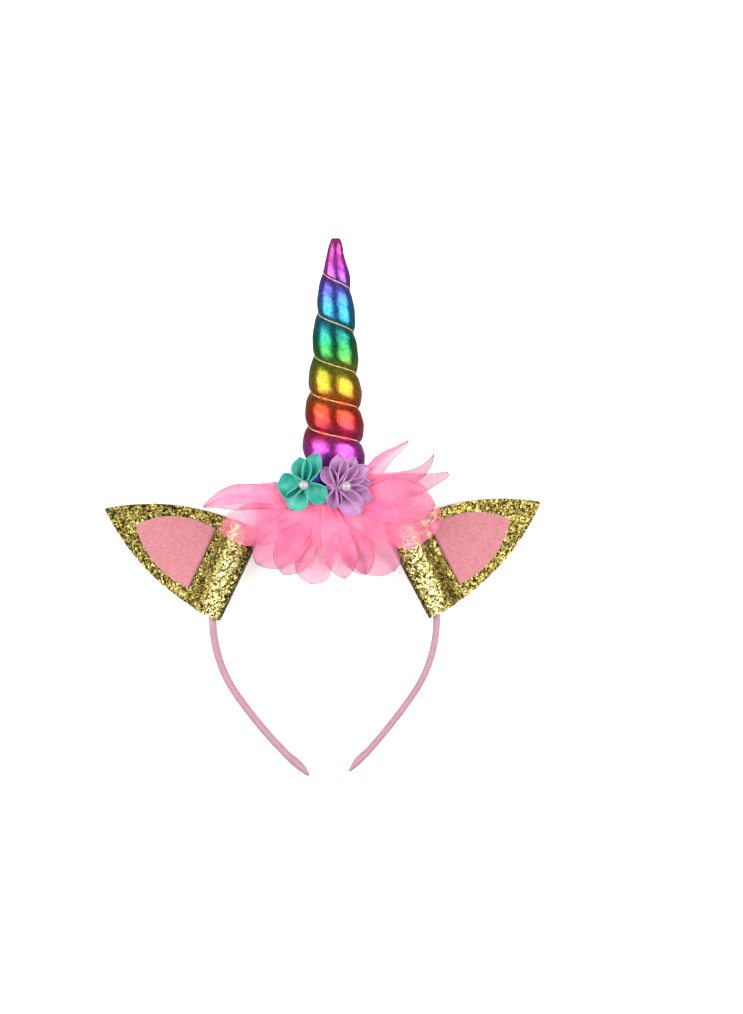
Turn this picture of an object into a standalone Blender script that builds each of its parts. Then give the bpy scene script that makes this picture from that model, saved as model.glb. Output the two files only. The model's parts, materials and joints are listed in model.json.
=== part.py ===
"""Unicorn horn headband, lying on its back as it does when it is put down.

Every piece is drawn in the headband's own frame: X to the right, Y from the tips up to the horn, Z out
of the front, with the centre of the crown's arc at the origin. All pieces are children of one empty,
which lays that frame on the floor. Sizes are in millimetres and angles in degrees.
"""

import math

import bmesh
import bpy
import numpy as np

MM = 0.001

# How the headband rests: on both tips, the back of the horn and the points of the ears
REST_TILT = 4.85
REST_SHIFT = (1.16, -58.74)
REST_LIFT = 11.64

# Hoop: centre line from the crown down each arm, and the section of the wrapped band
CROWN_RADIUS = 60.6
CROWN_FACET_ANGLE = 9.0
STRAIGHT_LENGTH = 1.6
SIDE_RADIUS = 72.4
SIDE_SWEEP = 34.5
ARM_RADIUS = 246.0
LEFT_ARM_LENGTH = 59.5
RIGHT_ARM_LENGTH = 54.7
BAND_DEPTH = 9.5
LEFT_THICKNESS = 4.8
CROWN_THICKNESS = 4.4
RIGHT_THICKNESS = 4.2
# Rows of a tip: distance from its end, share of the band's thickness, share of its depth
TIP_SHAPE = (
    (0.0, 0.45, 0.35),
    (0.8, 0.80, 0.62),
    (2.4, 1.05, 0.84),
    (5.0, 1.18, 0.97),
    (9.0, 1.18, 1.00),
    (14.0, 1.00, 1.00),
)

# Horn: height of its base and tip, its axis, and rows of height and outer radius
HORN_BASE_Y = 63.1
HORN_TIP_Y = 204.6
HORN_BASE_X = 4.6
HORN_TIP_X = 6.2
HORN_RADII = (
    (55.0, 17.1),
    (75.0, 17.0),
    (93.0, 16.7),
    (107.0, 15.7),
    (120.0, 14.8),
    (136.0, 12.9),
    (150.0, 11.8),
    (163.0, 10.7),
    (176.0, 8.8),
    (188.0, 7.2),
    (196.0, 5.2),
    (201.0, 3.9),
    (205.0, 2.5),
    (215.0, 1.6),
)
# Heights at which the thread crosses the middle of the horn's front, one turn apart
THREAD_CROSSINGS = (44.0, 62.5, 80.6, 98.8, 117.2, 136.2, 158.9, 181.3, 201.0, 219.0, 237.0)
GROOVE_DEPTH_SHARE = 0.13
HORN_SIDES = 24
HORN_ROWS_PER_TURN = 5
# The thread ends at the back, this many turns up, and the groove fades out past it
THREAD_END_TURNS = 7.5
GROOVE_FADE_TURNS = 0.4
THREAD_DIAMETER = 1.0
THREAD_STEPS_PER_TURN = 16
SEAT_GAP = 0.3

# Ears: where the middle of the fold lies, which way the ear points, and the leaf's outline
EAR_LEFT_FOLD = (-46.1, 22.1)
EAR_LEFT_ANGLE = 154.6
EAR_RIGHT_FOLD = (45.1, 23.1)
EAR_RIGHT_ANGLE = 27.5
EAR_LENGTH = 81.9
EAR_HALF_BASE = 26.4
EAR_ARC_START = 6.0
EAR_SHEET = 1.1
EAR_DROOP = 12.78
EAR_DROOP_START = 14.0
# Rows of the folded sheet: distance from the fold, inner half height, outer half height
EAR_NOSE_LENGTH = 2.6
EAR_HOLLOW_HALF_HEIGHT = 5.4
EAR_PROFILE = (
    (11.0, 5.4, 6.5),
    (13.8, 3.7, 4.9),
    (16.8, 1.5, 2.7),
    (19.6, 0.0, 1.3),
    (21.6, 0.0, 1.1),
)
FELT_START = 22.0
FELT_LENGTH = 40.6
FELT_ARC_START = 26.0
FELT_HALF_WIDTH = 17.9
FELT_THICKNESS = 1.2

# Organza flower: oval gathered core on the front of the crown, and petals named by their tips
CORE_CENTRE = (1.5, 67.5)
CORE_HALF_SIZE = (16.5, 10.5)
CORE_BACK_Z = 17.6
CORE_FRONT_Z = 23.6
STEM_CENTRE = (2.0, 57.2)
STEM_RADIUS = 5.6
STEM_BACK_Z = 5.1
STEM_OVERLAP = 0.3
ORGANZA_SHEET = 1.0
PETAL_LOWEST = 0.6
PETAL_LEVEL_STEP = 1.35
PETAL_LEVELS = 4
PETAL_ROOT_HALF_WIDTH = 4.2
PETAL_ROOT_GAP = 0.45
PETAL_RISE = 3.0
PETAL_DROOP = 8.6
PETAL_RUFFLE = 1.7
RUFFLES_AROUND = 11
# Rows of a petal: tip x, tip y, greatest half width, share of its length where that lies
PETALS = (
    (44.3, 94.6, 7.0, 0.60),
    (58.2, 87.8, 10.0, 0.62),
    (65.8, 77.0, 11.0, 0.64),
    (58.2, 61.8, 12.0, 0.66),
    (61.1, 51.1, 14.0, 0.68),
    (37.9, 28.8, 13.0, 0.68),
    (23.0, 26.8, 11.0, 0.66),
    (10.8, 23.6, 11.0, 0.68),
    (-6.5, 21.1, 11.5, 0.70),
    (-21.9, 26.0, 11.0, 0.66),
    (-36.4, 31.8, 12.0, 0.68),
    (-54.8, 48.1, 11.5, 0.66),
    (-63.8, 61.3, 9.0, 0.58),
)

# Ribbon flowers: place of the knot, and petals by angle, length and half width
RIBBON_BACK_Z = 23.9
RIBBON_SHEET = 1.1
TEAL_CENTRE = (-10.6, 73.7)
TEAL_KNOT = (3.6, 3.6, 3.4)
TEAL_PETALS = (
    (96.0, 14.4, 4.3),
    (62.0, 16.6, 3.0),
    (182.0, 14.0, 5.6),
    (246.0, 14.6, 4.6),
    (-40.0, 14.2, 3.9),
)
LAVENDER_CENTRE = (7.8, 72.4)
LAVENDER_KNOT = (6.2, 4.2, 3.4)
LAVENDER_PETALS = (
    (106.0, 13.6, 3.2),
    (84.0, 17.4, 3.8),
    (62.0, 17.8, 3.7),
    (40.0, 19.0, 4.0),
    (6.0, 16.4, 2.8),
    (-16.0, 18.6, 3.9),
    (-52.0, 17.6, 5.6),
    (-112.0, 11.0, 3.2),
)
PEARL_DIAMETER = 5.0
TEAL_PEARL = (-10.6, 73.7)
LAVENDER_PEARL = (12.0, 73.1)
TEAL_PEARL_SEAT = 27.5
LAVENDER_PEARL_SEAT = 28.3


def clear_scene():
    """Take away whatever the file starts with."""
    for obj in list(bpy.data.objects):
        bpy.data.objects.remove(obj, do_unlink=True)


def make_material(name, colour, roughness, metallic):
    """A Principled material of one colour, given as linear red, green and blue."""
    material = bpy.data.materials.new(name)
    material.use_nodes = True
    shader = material.node_tree.nodes["Principled BSDF"]
    shader.inputs["Base Color"].default_value = (*colour, 1.0)
    shader.inputs["Roughness"].default_value = roughness
    shader.inputs["Metallic"].default_value = metallic
    material.diffuse_color = (*colour, 1.0)
    return material


def add_object(name, mesh, material, smooth=True):
    """Put a mesh in the scene under the empty that lays the headband down."""
    obj = bpy.data.objects.new(name, mesh)
    bpy.context.scene.collection.objects.link(obj)
    obj.parent = bpy.data.objects["headband_at_rest"]
    if material is not None:
        mesh.materials.append(material)
    mesh.shade_smooth() if smooth else mesh.shade_flat()
    return obj


def mesh_from(name, points, faces):
    """A closed mesh in metres from points in millimetres, with its faces turned outwards."""
    mesh = bpy.data.meshes.new(name)
    mesh.from_pydata((np.asarray(points) * MM).tolist(), [], faces)
    shape = bmesh.new()
    shape.from_mesh(mesh)
    bmesh.ops.recalc_face_normals(shape, faces=shape.faces)
    bmesh.ops.triangulate(shape, faces=[f for f in shape.faces if len(f.verts) > 4])
    shape.to_mesh(mesh)
    shape.free()
    return mesh


def lofted(name, rings):
    """A solid through rings of points, closed by a flat face at each end."""
    rings = np.asarray(rings)
    count, sides = rings.shape[:2]
    faces = []
    for i in range(count - 1):
        for j in range(sides):
            after = (j + 1) % sides
            faces.append((i * sides + j, i * sides + after, (i + 1) * sides + after, (i + 1) * sides + j))
    faces.append(tuple(range(sides)))
    faces.append(tuple((count - 1) * sides + j for j in range(sides)))
    return mesh_from(name, rings.reshape(-1, 3), faces)


def sheet_between(name, front, back):
    """A closed sheet whose two sides are grids of points of the same shape."""
    front, back = np.asarray(front), np.asarray(back)
    rows, columns = front.shape[:2]
    corner = np.arange(rows * columns).reshape(rows, columns)
    behind = corner + rows * columns
    faces = []
    for i in range(rows - 1):
        for j in range(columns - 1):
            quad = (corner[i, j], corner[i, j + 1], corner[i + 1, j + 1], corner[i + 1, j])
            faces.append(tuple(int(k) for k in quad))
            faces.append(tuple(int(k) + rows * columns for k in reversed(quad)))
    around = np.concatenate([corner[0, :-1], corner[:-1, -1], corner[-1, :0:-1], corner[:0:-1, 0]])
    beyond = np.concatenate([behind[0, :-1], behind[:-1, -1], behind[-1, :0:-1], behind[:0:-1, 0]])
    for k in range(len(around)):
        after = (k + 1) % len(around)
        faces.append((int(around[k]), int(around[after]), int(beyond[after]), int(beyond[k])))
    return mesh_from(name, np.concatenate([front.reshape(-1, 3), back.reshape(-1, 3)]), faces)


def prism(name, outline, low, high):
    """A solid with the same outline in X and Y at two heights of Z."""
    outline = np.asarray(outline, float)
    lower = np.column_stack([outline, np.full(len(outline), low)])
    upper = np.column_stack([outline, np.full(len(outline), high)])
    return lofted(name, [lower, upper])


def combine(obj, others, operation):
    """Apply a Boolean with each of the other objects in turn, and take those away."""
    for other in others:
        boolean = obj.modifiers.new("with " + other.name, "BOOLEAN")
        boolean.operation = operation
        boolean.object = other
    bpy.context.view_layer.update()
    graph = bpy.context.evaluated_depsgraph_get()
    result = bpy.data.meshes.new_from_object(obj.evaluated_get(graph), depsgraph=graph)
    obj.modifiers.clear()
    obj.data = result
    for other in others:
        bpy.data.objects.remove(other, do_unlink=True)


def arc_steps(start, heading, turn, length, count):
    """Points and headings along an arc: it starts at a point with a heading and turns evenly."""
    points, headings = [], []
    step = length / count
    place, angle = np.array(start, float), heading
    for _ in range(count):
        angle += turn / count / 2
        chord = step * math.sin(turn / count / 2) / (turn / count / 2) if turn else step
        place = place + chord * np.array([math.cos(angle), math.sin(angle)])
        angle += turn / count / 2
        points.append(place.copy())
        headings.append(angle)
    return points, headings


def arm_stations(side, arm_length):
    """Centre line of one half of the hoop from beside the crown's middle facet to its tip.

    side is 1 for the right half and -1 for the left. Each station is a point, the direction across
    the band's thickness, and the distance left to the tip.
    """
    first = math.radians(CROWN_FACET_ANGLE) / 2
    crown_sweep = math.pi / 2 - first
    start = (CROWN_RADIUS * math.sin(first), CROWN_RADIUS * math.cos(first))
    points, headings = [np.array(start)], [-first]
    stretches = (
        (crown_sweep, CROWN_RADIUS * crown_sweep, 12),
        (0.0, STRAIGHT_LENGTH, 1),
        (math.radians(SIDE_SWEEP), SIDE_RADIUS * math.radians(SIDE_SWEEP), 7),
        (arm_length / ARM_RADIUS, arm_length - TIP_SHAPE[-1][0], 4),
    )
    for turn, length, count in stretches:
        more, angles = arc_steps(points[-1], headings[-1], -turn, length, count)
        points += more
        headings += angles
    for row in reversed(TIP_SHAPE[:-1]):
        before = TIP_SHAPE[[r[0] for r in TIP_SHAPE].index(row[0]) + 1][0]
        more, angles = arc_steps(points[-1], headings[-1], -0.004, before - row[0], 1)
        points += more
        headings += angles
    points, headings = np.array(points), np.array(headings)
    spans = np.linalg.norm(np.diff(points, axis=0), axis=1)
    left = np.concatenate([np.cumsum(spans[::-1])[::-1], [0.0]])
    across = np.column_stack([-np.sin(headings), np.cos(headings)])
    flip = np.array([side, 1.0])
    return points * flip, across * flip, left


def band_section(point, across, thickness, depth):
    """Twelve points round the band: flat inner and outer sides with rounded front and back edges."""
    corner = min(thickness, depth) * 0.36
    half_t, half_d = thickness / 2, depth / 2
    ring = []
    for sign_t, sign_d, start in ((1, 1, 0), (1, -1, 1), (-1, -1, 0), (-1, 1, 1)):
        edge = [
            (half_t, half_d - corner),
            (half_t - corner * 0.3, half_d - corner * 0.3),
            (half_t - corner, half_d),
        ]
        edge = edge[::-1] if start == 0 else edge
        for t, d in edge:
            ring.append((*(point + across * t * sign_t), d * sign_d))
    return ring


def build_headband(material):
    """The hoop, as one loft from the left tip over the crown to the right tip."""
    halves = []
    for side, length, thick in (
        (-1, LEFT_ARM_LENGTH, LEFT_THICKNESS),
        (1, RIGHT_ARM_LENGTH, RIGHT_THICKNESS),
    ):
        points, across, left = arm_stations(side, length)
        distance, share_t, share_d = (np.array(column) for column in zip(*TIP_SHAPE))
        tip_t = np.interp(left, distance, share_t)
        tip_d = np.interp(left, distance, share_d)
        along = np.clip(1 - left / left[0], 0, 1) ** 0.7
        thickness = (CROWN_THICKNESS + (thick - CROWN_THICKNESS) * along) * tip_t
        rings = [
            band_section(p, a, t, BAND_DEPTH * d)
            for p, a, t, d in zip(points, across, thickness, tip_d)
        ]
        halves.append(rings)
    rings = halves[0][::-1] + halves[1]
    return add_object("headband", lofted("headband", rings), material)


def horn_turns(height):
    """Number of thread turns below a height."""
    return np.interp(height, THREAD_CROSSINGS, np.arange(len(THREAD_CROSSINGS)))


def horn_height(turns):
    """Height at a number of thread turns."""
    return np.interp(turns, np.arange(len(THREAD_CROSSINGS)), THREAD_CROSSINGS)


def horn_radius(turns, across_lobe):
    """Outer radius of the horn, drawn in at the thread and full half way between two passes."""
    heights, radii = zip(*HORN_RADII)
    outer = np.interp(horn_height(turns), heights, radii)
    lobe = np.sqrt(np.clip(4 * across_lobe * (1 - across_lobe), 0, 1))
    drawn = np.clip((THREAD_END_TURNS + GROOVE_FADE_TURNS - turns) / GROOVE_FADE_TURNS, 0, 1)
    return outer * (1 - GROOVE_DEPTH_SHARE * drawn * (1 - lobe))


def horn_point(turns, angle, radius):
    """A point at an angle round the horn, measured from its front towards its right."""
    height = horn_height(turns)
    share = (height - HORN_BASE_Y) / (HORN_TIP_Y - HORN_BASE_Y)
    centre = HORN_BASE_X + (HORN_TIP_X - HORN_BASE_X) * share
    return np.stack([centre + radius * np.sin(angle), height, radius * np.cos(angle)], axis=-1)


def build_horn(material):
    """The stuffed horn, on a grid whose rows run along the thread, cut flat at base and tip.

    The thread falls from left to right across the front, so the turns at an angle are those at the
    front less the angle's share of a turn, and each row joins the one a whole turn below it.
    """
    turn_rows = HORN_ROWS_PER_TURN * (len(THREAD_CROSSINGS) - 1)
    row = np.arange(turn_rows + 1)[:, None] / HORN_ROWS_PER_TURN
    angle = np.arange(HORN_SIDES)[None, :] * 2 * math.pi / HORN_SIDES
    turns = np.clip(row - angle / (2 * math.pi), 0, len(THREAD_CROSSINGS) - 1)
    radius = horn_radius(turns, np.mod(row, 1.0) + 0 * angle)
    points = horn_point(turns, angle + 0 * row, radius)
    start = HORN_ROWS_PER_TURN
    faces = []
    for i in range(start, turn_rows):
        for j in range(HORN_SIDES):
            after, drop = (j + 1, 0) if j + 1 < HORN_SIDES else (0, HORN_ROWS_PER_TURN)
            quad = ((i, j), (i, j + 1), (i + 1, j + 1), (i + 1, j))
            if drop:
                quad = ((i, j), (i - drop, after), (i + 1 - drop, after), (i + 1, j))
            faces.append(tuple(r * HORN_SIDES + c for r, c in quad))
    mesh = bpy.data.meshes.new("horn")
    mesh.from_pydata((points.reshape(-1, 3) * MM).tolist(), [], faces)
    shape = bmesh.new()
    shape.from_mesh(mesh)
    bmesh.ops.delete(shape, geom=[v for v in shape.verts if not v.link_faces], context="VERTS")
    for height, outwards in ((HORN_BASE_Y, -1), (HORN_TIP_Y, 1)):
        everything = list(shape.verts) + list(shape.edges) + list(shape.faces)
        bmesh.ops.bisect_plane(
            shape,
            geom=everything,
            dist=1e-7,
            plane_co=(0, height * MM, 0),
            plane_no=(0, outwards, 0),
            clear_outer=True,
        )
        rim = [e for e in shape.edges if e.is_boundary and abs(e.verts[0].co.y - height * MM) < 1e-6]
        bmesh.ops.holes_fill(shape, edges=rim, sides=0)
    bmesh.ops.recalc_face_normals(shape, faces=shape.faces)
    bmesh.ops.triangulate(shape, faces=shape.faces)
    shape.to_mesh(mesh)
    shape.free()
    return add_object("horn", mesh, material)


def build_thread(material):
    """The gold thread: a thin tube that runs in the groove from the base to its end at the back."""
    first = horn_turns(HORN_BASE_Y + 1.5)
    turns = np.arange(first, THREAD_END_TURNS, 1 / THREAD_STEPS_PER_TURN)
    radius = horn_radius(turns, 0.0 * turns) + SEAT_GAP + THREAD_DIAMETER / 2
    centres = horn_point(turns, -turns * 2 * math.pi, radius)
    along = np.gradient(centres, axis=0)
    along /= np.linalg.norm(along, axis=1)[:, None]
    axis = np.array([0.0, 1.0, 0.0])
    outward = np.cross(along, axis)
    outward /= np.linalg.norm(outward, axis=1)[:, None]
    upward = np.cross(outward, along)
    round_angles = np.arange(5) * 2 * math.pi / 5
    rings = [
        [c + THREAD_DIAMETER / 2 * (o * math.cos(a) + u * math.sin(a)) for a in round_angles]
        for c, o, u in zip(centres, outward, upward)
    ]
    return add_object("gold_thread", lofted("gold_thread", rings), material)


def leaf_half_width(distance, length, arc_start, half_width):
    """Half width of a leaf whose two sides are arcs of a circle that meet at its point."""
    reach = length - arc_start
    radius = (reach**2 + half_width**2) / (2 * half_width)
    offset = np.clip(distance - arc_start, 0, reach)
    return np.sqrt(radius**2 - offset**2) - (radius - half_width)


def leaf_outline(start, length, arc_start, half_width, steps=12):
    """Closed outline of a leaf from its straight base to its point."""
    distance = np.linspace(0, 1, steps)
    distance = start + (length - start) * np.sin(distance * math.pi / 2)
    half = leaf_half_width(distance, length, arc_start, half_width)
    upper = np.column_stack([distance, half])
    lower = np.column_stack([distance, -half])[-2::-1]
    return np.concatenate([upper, lower])


def droop(distance):
    """How far the middle of the ear lies behind the hoop's middle, by distance from the fold."""
    return -np.clip(distance - EAR_DROOP_START, 0, None) * math.tan(math.radians(EAR_DROOP))


def ear_profile_mesh(name):
    """The folded sheet as an endless strip: its hollow holds the hoop, and its halves meet outside."""
    nose = np.linspace(math.pi / 2, math.pi, 6)
    inner_nose = [
        (EAR_NOSE_LENGTH * (1 + math.cos(a)), EAR_HOLLOW_HALF_HEIGHT * math.sin(a)) for a in nose
    ]
    outer_nose = [
        (
            EAR_NOSE_LENGTH + (EAR_NOSE_LENGTH + EAR_SHEET) * math.cos(a),
            (EAR_HOLLOW_HALF_HEIGHT + EAR_SHEET) * math.sin(a),
        )
        for a in nose
    ]
    far = EAR_LENGTH + 2.0
    inner = [(u, half) for u, half, _ in EAR_PROFILE if half > 0] + [(EAR_PROFILE[3][0], 0.0)]
    outer = [(u, half) for u, _, half in EAR_PROFILE] + [(far, EAR_PROFILE[-1][2])]

    def loop(nose_points, rows, shared_end):
        upper = nose_points[::-1] + rows
        lower = [(u, -h) for u, h in (rows[-2::-1] if shared_end else rows[::-1])]
        lower += [(u, -h) for u, h in nose_points[:-1]]
        flat = np.array(upper + lower)
        flat[:, 1] += droop(flat[:, 0])
        return flat

    reach = EAR_HALF_BASE + 4.0
    solids = []
    for label, flat, wide in (
        ("outside", loop(outer_nose, outer, False), reach),
        ("hollow", loop(inner_nose, inner, True), reach + 5.0),
    ):
        near = np.column_stack([flat[:, 0], np.full(len(flat), -wide), flat[:, 1]])
        beyond = near * np.array([1, -1, 1])
        solids.append(add_object(name + label, lofted(name + label, [near, beyond]), None))
    return solids


def build_ear(name, fold, angle, material):
    """One ear: the folded strip trimmed to the leaf, turned to its place on the hoop."""
    strip, hollow = ear_profile_mesh(name)
    outline = leaf_outline(-3.0, EAR_LENGTH, EAR_ARC_START, EAR_HALF_BASE)
    leaf = add_object(name + "leaf", prism(name + "leaf", outline, -30.0, 20.0), None)
    combine(strip, [hollow], "DIFFERENCE")
    combine(strip, [leaf], "INTERSECT")
    strip.name = name
    strip.data.name = name
    strip.data.materials.clear()
    strip.data.materials.append(material)
    place_ear(strip, fold, angle)
    return strip


def place_ear(obj, fold, angle):
    """Turn a piece drawn along +X from its fold to lie along an ear's direction."""
    obj.location = (fold[0] * MM, fold[1] * MM, 0.0)
    obj.rotation_euler = (0.0, 0.0, math.radians(angle))
    bpy.context.view_layer.update()


def build_ear_felt(name, fold, angle, material):
    """The felt leaf that lies on the front of an ear, following its droop."""
    outline = leaf_outline(FELT_START, FELT_START + FELT_LENGTH, FELT_ARC_START, FELT_HALF_WIDTH)
    lift = EAR_PROFILE[-1][2] + SEAT_GAP
    back = np.column_stack([outline, droop(outline[:, 0]) + lift])
    front = back + np.array([0, 0, FELT_THICKNESS])
    felt = add_object(name, lofted(name, [back, front]), material)
    place_ear(felt, fold, angle)
    return felt


def oval(centre, half_size, steps):
    """Points round an oval."""
    angle = np.arange(steps) * 2 * math.pi / steps
    return np.column_stack(
        [centre[0] + half_size[0] * np.cos(angle), centre[1] + half_size[1] * np.sin(angle)]
    )


def build_organza_core(material):
    """The gathered centre of the sheer flower, with its stitched stem on the front of the crown."""
    rings = []
    for z, share in (
        (CORE_BACK_Z, 0.90),
        (CORE_BACK_Z + 0.7, 1.0),
        (CORE_FRONT_Z - 0.7, 1.0),
        (CORE_FRONT_Z, 0.86),
    ):
        flat = oval(CORE_CENTRE, (CORE_HALF_SIZE[0] * share, CORE_HALF_SIZE[1] * share), 32)
        rings.append(np.column_stack([flat, np.full(len(flat), z)]))
    core = add_object("organza_core", lofted("organza_core", rings), material)
    flat = oval(STEM_CENTRE, (STEM_RADIUS, STEM_RADIUS), 16)
    stem = add_object("stem", prism("stem", flat, STEM_BACK_Z, CORE_BACK_Z + STEM_OVERLAP), None)
    combine(core, [stem], "UNION")
    return core


def organza_height(x, y):
    """Height of the sheer layers over the core's back: they rise, then droop with a soft ruffle."""
    away = np.hypot(x - CORE_CENTRE[0], y - CORE_CENTRE[1])
    share = np.clip((away - 12.0) / 55.0, 0, 1.2)
    turn = np.arctan2(y - CORE_CENTRE[1], x - CORE_CENTRE[0])
    ruffle = PETAL_RUFFLE * share * np.sin(RUFFLES_AROUND * turn + 2.0 * share)
    return PETAL_RISE * np.sin(math.pi * np.clip(share, 0, 1)) - PETAL_DROOP * share**2 + ruffle


def core_edge(way, sideways, offset):
    """Distance from the core's centre to its edge along a direction, for lines offset sideways.

    A line meets the oval where the squared share of each half size adds up to one, which is a
    quadratic in the distance.
    """
    direction = way / np.array(CORE_HALF_SIZE)
    across = offset[:, None] * sideways / np.array(CORE_HALF_SIZE)
    a = direction @ direction
    b = across @ direction
    c = (across**2).sum(axis=1) - 1.0
    return (-b + np.sqrt(b**2 - a * c)) / a


def petal_grid(tip, half_width, widest, rows=10, columns=5):
    """Flat grid of a petal: narrow at its gathered root, broadest near its rounded tip."""
    centre = np.array(CORE_CENTRE)
    way = np.array(tip) - centre
    reach = np.linalg.norm(way)
    way = way / reach
    sideways = np.array([-way[1], way[0]])
    across = np.linspace(-1, 1, columns)
    root = core_edge(way, sideways, across * PETAL_ROOT_HALF_WIDTH) + PETAL_ROOT_GAP
    along = np.linspace(0, 1, rows)
    swell = np.sin(np.clip(along / widest, 0, 1) * math.pi / 2)
    closing = np.sqrt(1 - 0.97 * np.clip((along - widest) / (1 - widest), 0, 1) ** 2)
    width = (PETAL_ROOT_HALF_WIDTH + (half_width - PETAL_ROOT_HALF_WIDTH) * swell) * closing
    distance = root + (reach - root) * along[:, None]
    return centre + distance[..., None] * way + (width[:, None] * across)[..., None] * sideways


def build_organza_petals(material):
    """The sheer petals, each a step in front of the one beside it, all on one drooping surface."""
    for number, (tip_x, tip_y, half_width, widest) in enumerate(PETALS):
        flat = petal_grid((tip_x, tip_y), half_width, widest)
        level = CORE_BACK_Z + PETAL_LOWEST + PETAL_LEVEL_STEP * (number % PETAL_LEVELS)
        height = level + organza_height(flat[..., 0], flat[..., 1])
        back = np.concatenate([flat, height[..., None]], axis=-1)
        front = back + np.array([0.0, 0.0, ORGANZA_SHEET])
        name = f"organza_petal_{number + 1:02d}"
        add_object(name, sheet_between(name, front, back), material)


def grid_normals(grid):
    """Unit normals of a grid of points, from the directions of its rows and columns."""
    along = np.gradient(grid, axis=0)
    across = np.gradient(grid, axis=1)
    normals = np.cross(along, across)
    return normals / np.linalg.norm(normals, axis=-1, keepdims=True)


def ribbon_petal(name, centre, angle, length, half_width):
    """One ribbon loop: a boat-shaped sheet, pinched at the knot, with raised rims and a cupped tip."""
    along = np.linspace(0, 1, 8)[:, None]
    across = np.linspace(-1, 1, 6)[None, :]
    swell = np.sin(math.pi / 2 * np.clip(along / 0.62, 0, 1))
    closing = np.sqrt(1 - 0.80 * np.clip((along - 0.62) / 0.38, 0, 1) ** 2)
    width = half_width * (0.40 + 0.60 * swell) * closing
    lean = np.sin(across * 1.25) / math.sin(1.25)
    rim = half_width * 0.80 * np.sin(math.pi * (0.12 + 0.70 * along)) * across**2
    height = RIBBON_BACK_Z + 0.6 + 2.2 * along**2 + 2.6 * np.clip(along - 0.7, 0, 1) + rim
    flat_x = length * along + 0 * across
    flat_y = width * lean
    turn = math.radians(angle)
    x = centre[0] + flat_x * math.cos(turn) - flat_y * math.sin(turn)
    y = centre[1] + flat_x * math.sin(turn) + flat_y * math.cos(turn)
    back = np.stack([x, y, height], axis=-1)
    front = back + RIBBON_SHEET * grid_normals(back)
    return add_object(name, sheet_between(name, front, back), None)


def dome(name, centre, half_size, low, steps=16):
    """A rounded knot with a flat back."""
    rings = []
    for turn in np.radians((0, 28, 52, 74)):
        flat = oval(centre, (half_size[0] * math.cos(turn), half_size[1] * math.cos(turn)), steps)
        rings.append(np.column_stack([flat, np.full(len(flat), low + half_size[2] * math.sin(turn))]))
    return lofted(name, rings)


def build_ribbon_flower(name, centre, knot, petals, material):
    """A ribbon flower: its loops joined to the knot that gathers them."""
    flower = add_object(name, dome(name, centre, knot, RIBBON_BACK_Z), material)
    loops = [
        ribbon_petal(f"{name}_loop_{i}", centre, angle, length, half_width)
        for i, (angle, length, half_width) in enumerate(petals)
    ]
    combine(flower, loops, "UNION")
    return flower


def build_pearl(name, centre, seat_height, material):
    """A round bead above its flower's knot."""
    mesh = bpy.data.meshes.new(name)
    shape = bmesh.new()
    bmesh.ops.create_uvsphere(shape, u_segments=12, v_segments=9, radius=PEARL_DIAMETER / 2 * MM)
    middle = (centre[0] * MM, centre[1] * MM, (seat_height + PEARL_DIAMETER / 2) * MM)
    bmesh.ops.translate(shape, vec=middle, verts=shape.verts)
    shape.to_mesh(mesh)
    shape.free()
    return add_object(name, mesh, material)


def main():
    """Build every piece and lay the headband down."""
    clear_scene()
    rest = bpy.data.objects.new("headband_at_rest", None)
    bpy.context.scene.collection.objects.link(rest)
    satin = make_material("pink_satin", (0.76, 0.39, 0.49), 0.45, 0.0)
    foil = make_material("rainbow_foil_fabric", (0.58, 0.10, 0.42), 0.30, 0.9)
    gold = make_material("gold_thread", (0.58, 0.36, 0.10), 0.35, 0.8)
    glitter = make_material("gold_glitter_sheet", (0.45, 0.32, 0.05), 0.40, 0.7)
    felt = make_material("pink_felt", (0.86, 0.29, 0.38), 0.95, 0.0)
    organza = make_material("pink_organza", (0.94, 0.42, 0.58), 0.55, 0.0)
    teal = make_material("teal_satin", (0.05, 0.53, 0.35), 0.40, 0.0)
    lavender = make_material("lavender_satin", (0.46, 0.21, 0.63), 0.40, 0.0)
    pearl = make_material("pearl_bead", (0.88, 0.85, 0.84), 0.20, 0.0)
    build_headband(satin)
    build_horn(foil)
    build_thread(gold)
    for side, fold, angle in (
        ("left", EAR_LEFT_FOLD, EAR_LEFT_ANGLE),
        ("right", EAR_RIGHT_FOLD, EAR_RIGHT_ANGLE),
    ):
        build_ear("ear_" + side, fold, angle, glitter)
        build_ear_felt("ear_felt_" + side, fold, angle, felt)
    build_organza_core(organza)
    build_organza_petals(organza)
    build_ribbon_flower("flower_teal", TEAL_CENTRE, TEAL_KNOT, TEAL_PETALS, teal)
    build_ribbon_flower("flower_lavender", LAVENDER_CENTRE, LAVENDER_KNOT, LAVENDER_PETALS, lavender)
    build_pearl("pearl_teal", TEAL_PEARL, TEAL_PEARL_SEAT, pearl)
    build_pearl("pearl_lavender", LAVENDER_PEARL, LAVENDER_PEARL_SEAT, pearl)
    rest.rotation_euler = (math.radians(REST_TILT), 0.0, 0.0)
    rest.location = (REST_SHIFT[0] * MM, REST_SHIFT[1] * MM, REST_LIFT * MM)
    bpy.context.view_layer.update()


main()
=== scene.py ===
"""Dresses the unicorn horn headband: satin hoop, foil horn, glitter ears and sheer and ribbon flowers.

Every shape is drawn in the headband's own frame in millimetres: X to the right, Y from the tips of the
hoop up to the horn, Z out of its front, with the centre of the crown's arc at the origin. RestFrame
lays that frame on the floor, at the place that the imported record's crown mount gives.
"""

import json
import logging
import math
from dataclasses import dataclass, replace
from enum import Enum
from typing import Any, Callable, Sequence

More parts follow.
